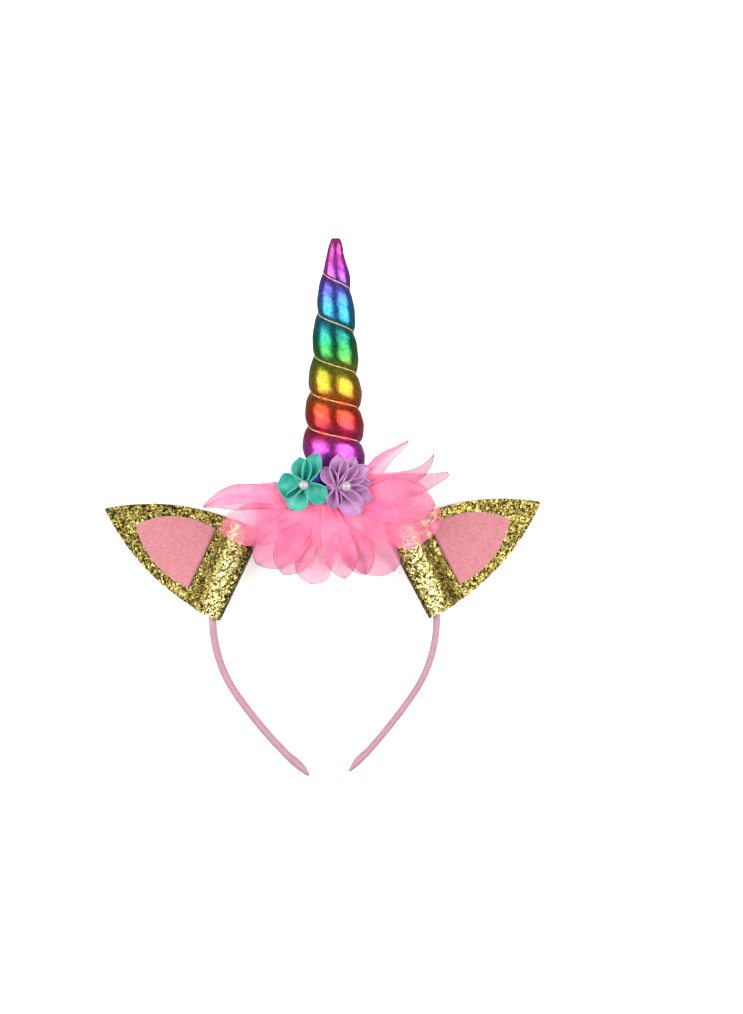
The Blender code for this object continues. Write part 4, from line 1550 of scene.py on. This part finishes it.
    def plain_outline(self, petal: SheerPetal, s: Array, t: Array) -> tuple[Array, Array, Array, Array]:
        """Middle line, directions across it, half widths and lengths of a petal with no spine.

        It runs from the core's edge to its tip along a bowed line. Its half width swells as a quarter
        sine to the widest place and closes as a power of a falling curve after it.

        Args:
            petal: The petal's row.
            s: Shares of the way out, as a column.
            t: Places across from -1 to 1, as a row.

        Returns:
            Four grids: middle line, direction across, half width, and distance left to the tip.
        """
        centre = np.array(self.centre)
        way = np.array(petal.tip) - centre
        reach = float(np.linalg.norm(way))
        way = way / reach
        sideways = np.array([-way[1], way[0]])
        start = self.core_edge(way, sideways, t[0] * self.root_half) - 0.6
        swell = np.sin(np.clip(s / petal.widest, 0, 1) * math.pi / 2)
        close = np.clip((s - petal.widest) / (1 - petal.widest), 0, 1)
        wavy = 1 + 0.035 * np.sin(13 * s + petal.phase * 3) + 0.03 * np.sin(29 * s + petal.phase)
        width = self.root_half + (petal.half - self.root_half) * swell
        width = width * np.clip(1 - close**1.9, 0.0, 1.0) ** petal.blunt * wavy
        distance = start + (reach - start) * s
        bow = petal.bow * np.sin(math.pi * s**1.4)
        middle = centre + distance[..., None] * way + bow[..., None] * sideways
        return middle, np.broadcast_to(sideways, middle.shape), np.maximum(width, 0.25), reach - distance

    def spine_outline(self, petal: SheerPetal, s: Array, t: Array) -> tuple[Array, Array, Array, Array]:
        """Gives the same four grids for a petal whose middle line is given by its spine.

        Args:
            petal: The petal's row.
            s: Shares of the way out, as a column.
            t: Places across from -1 to 1, as a row.

        Returns:
            Middle line, direction across, half width, and distance left to the tip.
        """
        rows = np.array(petal.spine)
        gaps = np.linalg.norm(np.diff(rows[:, :2], axis=0), axis=1)
        share = np.concatenate([[0.0], np.cumsum(gaps)])
        total = float(share[-1])
        line = np.stack([soft_interp(s[:, 0], share / total, rows[:, k]) for k in range(3)], axis=-1)
        along = np.gradient(line[:, :2], axis=0)
        along /= np.linalg.norm(along, axis=1, keepdims=True)
        across = np.stack([-along[:, 1], along[:, 0]], axis=-1)[:, None]
        middle = line[:, None, :2] + 0 * t[..., None]
        wavy = 1 + 0.03 * np.sin(15 * s + petal.phase * 3)
        return middle, np.broadcast_to(across, middle.shape), line[:, 2:] * wavy, total * (1 - s) + 0 * t

    def petal_grid(self, petal: SheerPetal) -> tuple[Array, Array]:
        """Surface of a petal, and its distance from the cut edge with its cover.

        On top of the common droop come the curl of its sides, pleats that fan out of the gathered root
        and fade, and ruffles that grow towards the edge. The cloth covers most at the root, where it
        is gathered, in the pleats and where it is folded back.

        Args:
            petal: The petal's row.

        Returns:
            Grid of points in the headband's frame, and grid of distances in mm and covers.
        """
        s = np.linspace(0.0, 1.0, self.rows)[:, None]
        t = np.linspace(-1.0, 1.0, self.columns)[None, :]
        outline = self.spine_outline if petal.spine else self.plain_outline
        middle, sideways, width, left = outline(petal, s, t)
        lean = np.radians(petal.twist) * s**1.5
        curl = petal.cup * width * (t**2) * smooth_step(0.15, 0.8, s)
        over = width * t * np.cos(lean) - curl * np.sin(lean) * 0.7
        height = width * t * np.sin(lean) + curl * np.cos(lean)
        x, y = np.moveaxis(middle + over[..., None] * sideways, -1, 0)
        pleat = np.sin(2.5 * math.pi * t + petal.phase * 2 + 0.8 * s)
        pleats = self.pleat * (1 - smooth_step(0.05, 0.75, s)) * pleat
        folds = self.soft_fold * np.sin(2.2 * math.pi * t + petal.phase) * smooth_step(0.1, 0.8, s)
        wave = np.sin(17 * s + 3 * np.sign(t) + petal.phase * 5)
        ruffle = self.ruffle * np.abs(t) ** 2.5 * s * wave
        tip_wave = self.tip_wave * smooth_step(0.75, 1.0, s) * np.sin(5 * t + petal.phase)
        level = self.back_z + self.lowest + petal.level
        z = level + self.droop(x, y) + petal.lift * s**2 + height + pleats + folds + ruffle + tip_wave
        cover = self.root_cover + (petal.tip_cover - self.root_cover) * smooth_step(0.25, 0.95, s + 0 * t)
        if petal.fold:
            back = smooth_step(-0.06, 0.06, math.copysign(1.0, petal.fold) * t - 1 + abs(petal.fold))
            cover = cover * (1 + (0.46 * back - 0.34) * smooth_step(0.2, 0.4, s))
        # Near the root the edge lies between other layers, so it doesn't show
        first, last = (0.15, 0.35) if petal.spine else (0.55, 0.80)
        hidden = 5.0 * (1 - smooth_step(first, last, s))
        edge = np.minimum(width * (1 - np.abs(t)), left) + hidden
        if not petal.sealed:
            edge = np.full_like(edge, -5.0)
        return np.stack([x, y, z], axis=-1), np.stack([edge, np.clip(cover, 0.05, 0.95)], axis=-1)

    def fillers(self) -> list[SheerPetal]:
        """Short petals at uneven angles that make the flower full, from its left round to its right.

        Angles step evenly from the left end to the right end and stray by a few degrees. Lengths,
        widths and levels stray too, so that no two edges lie along each other.

        Returns:
            A row for each.
        """
        chance = np.random.default_rng(self.seed)
        angles = np.linspace(self.first_angle, self.last_angle, self.filler_count)
        angles = np.radians(angles + chance.uniform(-5.0, 5.0, self.filler_count))
        # The oval flower reaches further to its sides than down
        reach = np.hypot(46.0 * np.cos(angles), 35.0 * np.sin(angles))
        reach = reach * chance.uniform(0.72, 1.05, self.filler_count)
        done = []
        for number, (angle, length) in enumerate(zip(angles, reach)):
            tip = (
                self.centre[0] + float(length * math.cos(angle)),
                self.centre[1] + float(length * math.sin(angle)),
            )
            half, blunt, bow, twist, phase = (
                float(chance.uniform(low, high))
                for low, high in ((8.5, 12.0), (0.45, 0.60), (-2.0, 2.0), (-8.0, 8.0), (0.0, 6.0))
            )
            level = 0.5 + 0.9 * (number * 3 % 6)
            row = SheerPetal(tip, half, 1.2, 0.12, twist, level, phase, blunt=blunt, bow=bow)
            done.append(replace(row, tip_cover=0.10, sealed=False))
        return done

    def build_petal(self, name: str, petal: SheerPetal, frame: RestFrame) -> tuple[Object, float]:
        """Makes a petal as a thin closed shell.

        Args:
            name: The piece's name.
            petal: The petal's row.
            frame: Where the headband lies.

        Returns:
            The object and its flat area in square metres.
        """
        grid, uv = self.petal_grid(petal)
        points = frame.place(grid)
        offset = grid_normals(points) * self.thickness / 2 * MM
        shell = add_shell(name, points + offset, points - offset, uv)
        return shell, grid_area(points)

    def build_core(self, frame: RestFrame) -> Object:
        """Makes the gathered centre with its stitched stem as one pleated solid.

        Rings run from the stem's foot on the crown up to the flower's front. Each is an oval whose
        radius waves with the pleats, deepest where the cloth is drawn in.

        Args:
            frame: Where the headband lies.

        Returns:
            The gathered centre, whose UV says that it has no cut edge and hardly lets light through.
        """
        # Rows: height, centre x, centre y, half width, half height, pleat depth
        table = (
            (self.stem_back, self.stem[0], self.stem[1], 4.4, 4.4, 0.3),
            (self.stem_back + 0.5, self.stem[0], self.stem[1], 5.2, 5.2, 0.4),
            (self.stem_back + 5.0, self.stem[0], self.stem[1], 4.6, 4.7, 0.5),
            (self.back_z - 3.0, self.stem[0], self.stem[1], 5.0, 5.0, 0.5),
            (self.back_z - 0.6, self.stem[0], self.stem[1] + 0.1, 5.5, 5.4, 0.5),
            (self.back_z + 0.2, 1.7, 64.8, 14.0, 6.4, 0.6),
            (self.back_z + 1.6, 1.5, 66.0, 16.0, 6.6, 0.6),
            (self.back_z + 3.6, 1.5, 66.0, 16.2, 6.6, 0.6),
            (self.front_z - 0.8, 1.5, 66.0, 14.2, 5.6, 0.6),
            (self.front_z - 0.1, 1.5, 66.0, 9.0, 3.8, 0.5),
            (self.front_z - 0.3, 1.5, 66.0, 3.0, 1.6, 0.2),
        )
        levels = np.arange(len(table), dtype=float)
        rings, sides = 90, 180
        read = np.linspace(0, len(table) - 1, rings)
        values = [soft_interp(read, levels, column(table, k)) for k in range(6)]
        z, cx, cy, hx, hy, pleat = (v[:, None] for v in values)
        turn = (np.arange(sides) * 2 * math.pi / sides)[None, :]
        wave = pleat * (0.30 * np.sin(26 * turn + 0.6 * np.sin(3 * turn)) + 0.20 * np.sin(11 * turn))
        x = cx + (hx + wave) * np.cos(turn)
        y = cy + (hy + wave) * np.sin(turn)
        ring = np.stack(np.broadcast_arrays(x, y, z), axis=-1)
        edge = np.stack([np.full(x.shape, -5.0), np.full(x.shape, 0.93)], axis=-1)
        return add_tube("organza_gather", frame.place(ring), edge)

    def dress(self, frame: RestFrame) -> list[Object]:
        """Builds the gathered centre and every petal and gives them their finish.

        A petal's cut piece is wider than it shows, by the cloth that the gathers take up, and a tenth
        longer, for the stretch that is stitched into the centre.

        Args:
            frame: Where the headband lies.

        Returns:
            All the pieces.
        """
        sheer = Organza().make()
        core = dress(self.build_core(frame), sheer, "pink_organza", "organza_core")
        done = [core]
        for number, petal in enumerate(list(self.petals) + self.fillers()):
            short = number - len(self.petals) + 1
            name = petal.node.replace("petal", "sheet") if petal.node else f"organza_inner_{short:02d}"
            shell, area = self.build_petal(name, petal, frame)
            dress(shell, sheer, "pink_organza", *([petal.node] if petal.node else []))
            reach = math.dist(petal.tip, self.centre) - 8.0
            wide = max([petal.half] + [row[2] for row in petal.spine])
            flat = (max(2.4 * wide, self.least_cut) * MM, reach * 1.1 * MM)
            done.append(shell)
        return done


@dataclass(frozen=True)
class RibbonLoop:
    """One loop of a ribbon flower: its angle, length, half width, how far it opens, and its point.

    A point of 0.4 ends round, and one of 1 ends sharp.
    """

    angle: float
    length: float
    half: float
    open: float
    point: float


@dataclass
class RibbonFlower:
    """A gathered satin flower: folded loops round a knot, with a pearl on it.

    Lengths are in millimetres.

    Attributes:
        name: Its colour, and slot its packed slot.
        centre: Place of the knot.
        knot: Half width, half height and depth of the knot.
        pearl: Place of the pearl, and pearl_seat the height of its back.
        loops: Its loops.
        back_z: Height of its back over the hoop's middle.
        widest: Share of a loop's length where it is widest.
        mouth: Share of its width that a loop has at the knot.
        pinch: How far a loop closes at the knot, as a share of a half turn.
        keel: Depth of the crease along a loop's middle.
    """

    name: str
    slot: str
    centre: tuple[float, float]
    knot: tuple[float, float, float]
    pearl: tuple[float, float]
    pearl_seat: float
    loops: tuple[RibbonLoop, ...]
    back_z: float = 23.9
    pearl_diameter: float = 5.0
    thickness: float = 0.35
    rows: int = 44
    columns: int = 36
    widest: float = 0.60
    mouth: float = 0.34
    pinch: float = 0.80
    keel: float = 0.35

    def loop_grid(self, loop: RibbonLoop) -> Array:
        """Surface of a loop: a boat whose sides stand up and roll in, pinched shut at the knot.

        Across it, the ribbon follows an arc of a circle: near the knot the arc is nearly closed, so
        its rims meet over a dark hollow, and it opens towards the tip, which runs to a soft point.
        The arc's radius is the half width over the sine of the opening.

        Args:
            loop: The loop's row.

        Returns:
            Grid of points in the headband's frame.
        """
        s = np.linspace(0.0, 1.0, self.rows)[:, None]
        t = np.linspace(-1.0, 1.0, self.columns)[None, :]
        swell = self.mouth + (1 - self.mouth) * np.sin(np.clip(s / self.widest, 0, 1) * math.pi / 2)
        close = np.clip((s - self.widest) / (1 - self.widest), 0, 1)
        outline = np.maximum(swell * (1 - close**1.8) ** loop.point, 0.06)
        half_angle = math.pi * (self.pinch - (self.pinch - loop.open) * smooth_step(0.0, 0.85, s))
        radius = loop.half * outline / np.maximum(np.sin(np.minimum(half_angle, math.pi / 2)), 0.35)
        bend = half_angle * t
        lateral = radius * np.sin(bend)
        upward = radius * (1 - np.cos(bend)) * (0.95 - 0.25 * s)
        upward = upward - self.keel * np.exp(-((t / 0.16) ** 2)) * smooth_step(0.1, 0.6, s)
        rise = 0.4 + 1.6 * s + 1.0 * s**3
        crease = 0.10 * np.sin(7 * t + 5 * s + loop.angle) * s
        height = self.back_z + rise + upward + crease
        forward = loop.length * s - 0.25 * np.abs(t) * loop.half * close
        turn = math.radians(loop.angle)
        x = self.centre[0] + forward * math.cos(turn) - lateral * math.sin(turn)
        y = self.centre[1] + forward * math.sin(turn) + lateral * math.cos(turn)
        return np.stack(np.broadcast_arrays(x, y, height), axis=-1)

    def build_loop(self, number: int, loop: RibbonLoop, frame: RestFrame) -> tuple[Object, float]:
        """Makes a loop as a closed sheet.

        Args:
            number: The loop's number in its name.
            loop: The loop's row.
            frame: Where the headband lies.

        Returns:
            The object, whose UV is in millimetres across and along, and its area in square metres.
        """
        points = frame.place(self.loop_grid(loop))
        offset = grid_normals(points) * self.thickness / 2 * MM
        s = np.linspace(0.0, loop.length, self.rows)[:, None]
        t = np.linspace(-loop.half, loop.half, self.columns)[None, :]
        uv = np.stack(np.broadcast_arrays(t, s), axis=-1)
        shell = add_shell(f"{self.name}_loop_{number}", points + offset, points - offset, uv)
        return shell, grid_area(points)

    def build_knot(self, frame: RestFrame) -> Object:
        """Makes the knot as a low dome of gathered ribbon, with pleats that fade towards its top.

        Args:
            frame: Where the headband lies.

        Returns:
            The knot.
        """
        rings, sides = 14, 72
        lift = np.linspace(0.0, 1.0, rings)[:, None] * math.pi / 2 * 0.96
        turn = (np.arange(sides) * 2 * math.pi / sides)[None, :]
        pleat = 1 + 0.05 * np.sin(13 * turn) * np.cos(lift)
        x = self.centre[0] + self.knot[0] * np.cos(lift) * np.cos(turn) * pleat
        y = self.centre[1] + self.knot[1] * np.cos(lift) * np.sin(turn) * pleat
        z = self.back_z + self.knot[2] * np.sin(lift) + 0 * turn
        ring = np.stack([x, y, z], axis=-1)
        uv = np.stack(np.broadcast_arrays(turn * 3.0, lift * 3.0), axis=-1)
        return add_tube(f"{self.name}_knot", frame.place(ring), uv)

    def build_pearl(self, frame: RestFrame) -> Object:
        """Makes the bead as a ball with a small dimple where its thread goes through.

        Args:
            frame: Where the headband lies.

        Returns:
            The bead.
        """
        rings, sides = 32, 48
        radius = self.pearl_diameter / 2
        # The thread's hole leaves out the last little way to each pole
        highest = math.pi / 2 - 0.06
        lift = np.linspace(-highest, highest, rings)[:, None]
        turn = (np.arange(sides) * 2 * math.pi / sides)[None, :]
        hole = 1 - 0.05 * np.exp(-(((math.pi / 2 - np.abs(lift)) / 0.16) ** 2))
        x = self.pearl[0] + radius * hole * np.cos(lift) * np.cos(turn)
        z = self.pearl_seat + radius + radius * hole * np.cos(lift) * np.sin(turn)
        y = self.pearl[1] + radius * hole * np.sin(lift) + 0 * turn
        return add_tube(f"pearl_on_{self.name}", frame.place(np.stack([x, y, z], axis=-1)))

    def dress(self, frame: RestFrame, satin: Material, pearl: Material) -> list[Object]:
        """Builds the flower and its bead and gives them their finishes.

        A loop's cut piece is a little wider than the ribbon is round its arc, and a quarter longer
        than the loop, for the stretch under the knot.

        Args:
            frame: Where the headband lies.
            satin: The ribbon's finish.
            pearl: The bead's finish.

        Returns:
            All the pieces.
        """
        knot = dress(self.build_knot(frame), satin, self.slot, f"flower_{self.name}")
        done = [knot]
        for number, loop in enumerate(self.loops, start=1):
            shell, area = self.build_loop(number, loop, frame)
            dress(shell, satin, self.slot)
            done.append(shell)
        bead = dress(self.build_pearl(frame), pearl, "pearl_bead", f"pearl_{self.name}")
        return done + [bead]


# Studio


@dataclass
class Studio:
    """A pale paper floor, two large softboxes, a soft surround and a camera straight above.

    Lengths are in metres and the angle in degrees.

    Attributes:
        camera_height: Height of the camera over the floor.
        view_plane: Height of the middle of the headband, where the scale holds.
        scale_mm: Millimetres that a pixel of the photograph covers there.
        frame_px: Size of the photograph, in pixels.
        centre: Place on the floor under the camera.
        sensor: Height of the camera's sensor, in millimetres.
        softbox_angle: How far each softbox hangs to the side of straight up, and softbox_shift how far
            towards the horn, as a share of its distance.
        softbox_power: Power of each, in watts.
        surround: Brightness of the room.
        floor_half: Half width of the paper.
    """

    camera_height: float = 1.60
    view_plane: float = 0.016
    scale_mm: float = 0.54
    frame_px: tuple[int, int] = (743, 1014)
    centre: tuple[float, float] = (0.0265, 0.0005)
    sensor: float = 36.0
    softbox_angle: float = 49.0
    softbox_shift: float = 0.05
    softbox_distance: float = 1.25
    softbox_size: tuple[float, float] = (0.92, 1.35)
    softbox_power: float = 23.0
    surround: float = 0.50
    floor_half: float = 3.0
    # Rows of a direction from 0 straight down over 0.5 level to 1 straight up, and the room's colour
    room: tuple[tuple[float, str], ...] = (
        (0.10, "#C8C8CC"),
        (0.42, "#A8A8AC"),
        (0.50, "#2C2C2E"),
        (0.55, "#B0B0B4"),
        (0.70, "#FFFFFF"),
        (0.89, "#C0C0C4"),
        (1.00, "#48484C"),
    )

    def place_camera(self) -> None:
        """Sets the camera so that a pixel covers the photograph's scale at the headband's height."""
        data = bpy.data.cameras.new("camera")
        data.sensor_fit = "VERTICAL"
        data.sensor_height = self.sensor
        tall = self.frame_px[1] * self.scale_mm * MM
        data.lens = self.sensor * (self.camera_height - self.view_plane) / tall
        data.clip_end = 10.0
        camera = bpy.data.objects.new("camera", data)
        camera.location = (self.centre[0], self.centre[1], self.camera_height)
        bpy.context.scene.collection.objects.link(camera)
        bpy.context.scene.camera = camera

    def place_floor(self) -> None:
        """Lays a wide sheet of paper under the headband."""
        half = self.floor_half
        points = np.array([[-half, -half, 0], [half, -half, 0], [half, half, 0], [-half, half, 0]])
        floor = add_mesh("studio_paper", points, [(0, 1, 2, 3)])
        floor.data.materials.append(StudioFloor().make())
        floor.visible_glossy = False

    def place_lights(self) -> None:
        """Hangs a softbox on each side and sets the surround."""
        for name, side in (("softbox_left", -1), ("softbox_right", 1)):
            light = bpy.data.lights.new(name, "AREA")
            light.shape = "RECTANGLE"
            light.size, light.size_y = self.softbox_size
            light.energy = self.softbox_power
            lamp = bpy.data.objects.new(name, light)
            turn = math.radians(self.softbox_angle)
            way = Vector((side * math.sin(turn), self.softbox_shift, math.cos(turn)))
            place = way * self.softbox_distance
            lamp.location = place
            lamp.rotation_euler = place.to_track_quat("Z", "Y").to_euler()
            bpy.context.scene.collection.objects.link(lamp)
        world = bpy.data.worlds.new("surround")
        world.use_nodes = True
        graph = Graph(world.node_tree)
        upward = graph.add("SeparateXYZ", {0: graph.add("TexCoord", output="Generated")}, "Z")
        height = graph.add("Math", {0: upward, 1: 0.5, 2: 0.5}, operation="MULTIPLY_ADD")
        room = graph.add("ValToRGB", {"Fac": height}, "Color", colour_stops(self.room, linear))
        graph.fill(world.node_tree.nodes["Background"], {"Color": room, "Strength": self.surround})
        bpy.context.scene.world = world

    def build(self) -> None:
        """Places the camera, the floor and the lights, and keeps colours as they are lit."""
        self.place_camera()
        self.place_floor()
        self.place_lights()
        scene = bpy.context.scene
        scene.view_settings.view_transform = "Standard"
        scene.cycles.transparent_max_bounces = 40


def teal_flower() -> RibbonFlower:
    """The five-looped teal flower, on the left."""
    loops = (
        RibbonLoop(98.0, 15.0, 5.4, 0.40, 0.45),
        RibbonLoop(65.0, 18.8, 4.7, 0.50, 0.60),
        RibbonLoop(183.0, 15.2, 7.0, 0.36, 0.70),
        RibbonLoop(246.0, 16.2, 6.2, 0.38, 0.75),
        RibbonLoop(-34.0, 16.0, 5.4, 0.42, 0.70),
    )
    return RibbonFlower(
        "teal", "teal_satin", (-10.6, 73.7), (3.6, 3.6, 3.4), (-10.6, 73.7), 27.5, loops
    )


def lavender_flower() -> RibbonFlower:
    """The fuller lavender flower, on the right, with its pearl off centre."""
    loops = (
        RibbonLoop(130.0, 13.8, 4.2, 0.46, 0.50),
        RibbonLoop(88.0, 18.2, 5.0, 0.42, 0.60),
        RibbonLoop(60.0, 18.6, 4.6, 0.42, 0.62),
        RibbonLoop(35.0, 20.0, 4.8, 0.42, 0.60),
        RibbonLoop(8.0, 18.0, 3.4, 0.56, 0.70),
        RibbonLoop(-20.0, 20.0, 5.0, 0.42, 0.75),
        RibbonLoop(-53.0, 19.6, 6.4, 0.38, 0.70),
        RibbonLoop(-108.0, 12.4, 3.8, 0.52, 0.55),
    )
    return RibbonFlower(
        "lavender", "lavender_satin", (7.8, 72.4), (6.2, 4.2, 3.4), (12.0, 73.1), 28.3, loops
    )


def main() -> None:
    """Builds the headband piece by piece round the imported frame."""
    logging.basicConfig(level=logging.INFO, format="%(message)s")
    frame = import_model()
    hoop = Hoop()
    inner = (hoop.crown_radius - hoop.crown_thickness / 2) * math.cos(math.radians(CROWN_FACET / 2))
    rest = RestFrame.from_mount(frame["record"], inner)
    Studio().build()
    glitter, felt = GlitterSheet().make(), PressedFelt().make()
    teal = SatinRibbon("teal_satin", "#5CEDD7", "#3CD4BA").make()
    lavender = SatinRibbon("lavender_satin", "#F8B6F2", "#DC98DE").make()
    pearl = PearlCoat().make()
    groups = {
        "hoop": [hoop.dress(rest)],
        "horn": Horn().dress(rest),
        "left ear": Ear("left", (-46.1, 22.1), 154.6, 11).dress(rest, glitter, felt),
        "right ear": Ear("right", (45.1, 23.1), 27.5, 23).dress(rest, glitter, felt),
        "organza flower": OrganzaFlower().dress(rest),
        "teal flower": teal_flower().dress(rest, teal, pearl),
        "lavender flower": lavender_flower().dress(rest, lavender, pearl),
    }
    for label, pieces in groups.items():
        faces = sum(len(piece.data.polygons) for piece in pieces)
        LOG.info("%s: %d pieces, %d faces", label, len(pieces), faces)


if __name__ == "__main__":
    main()
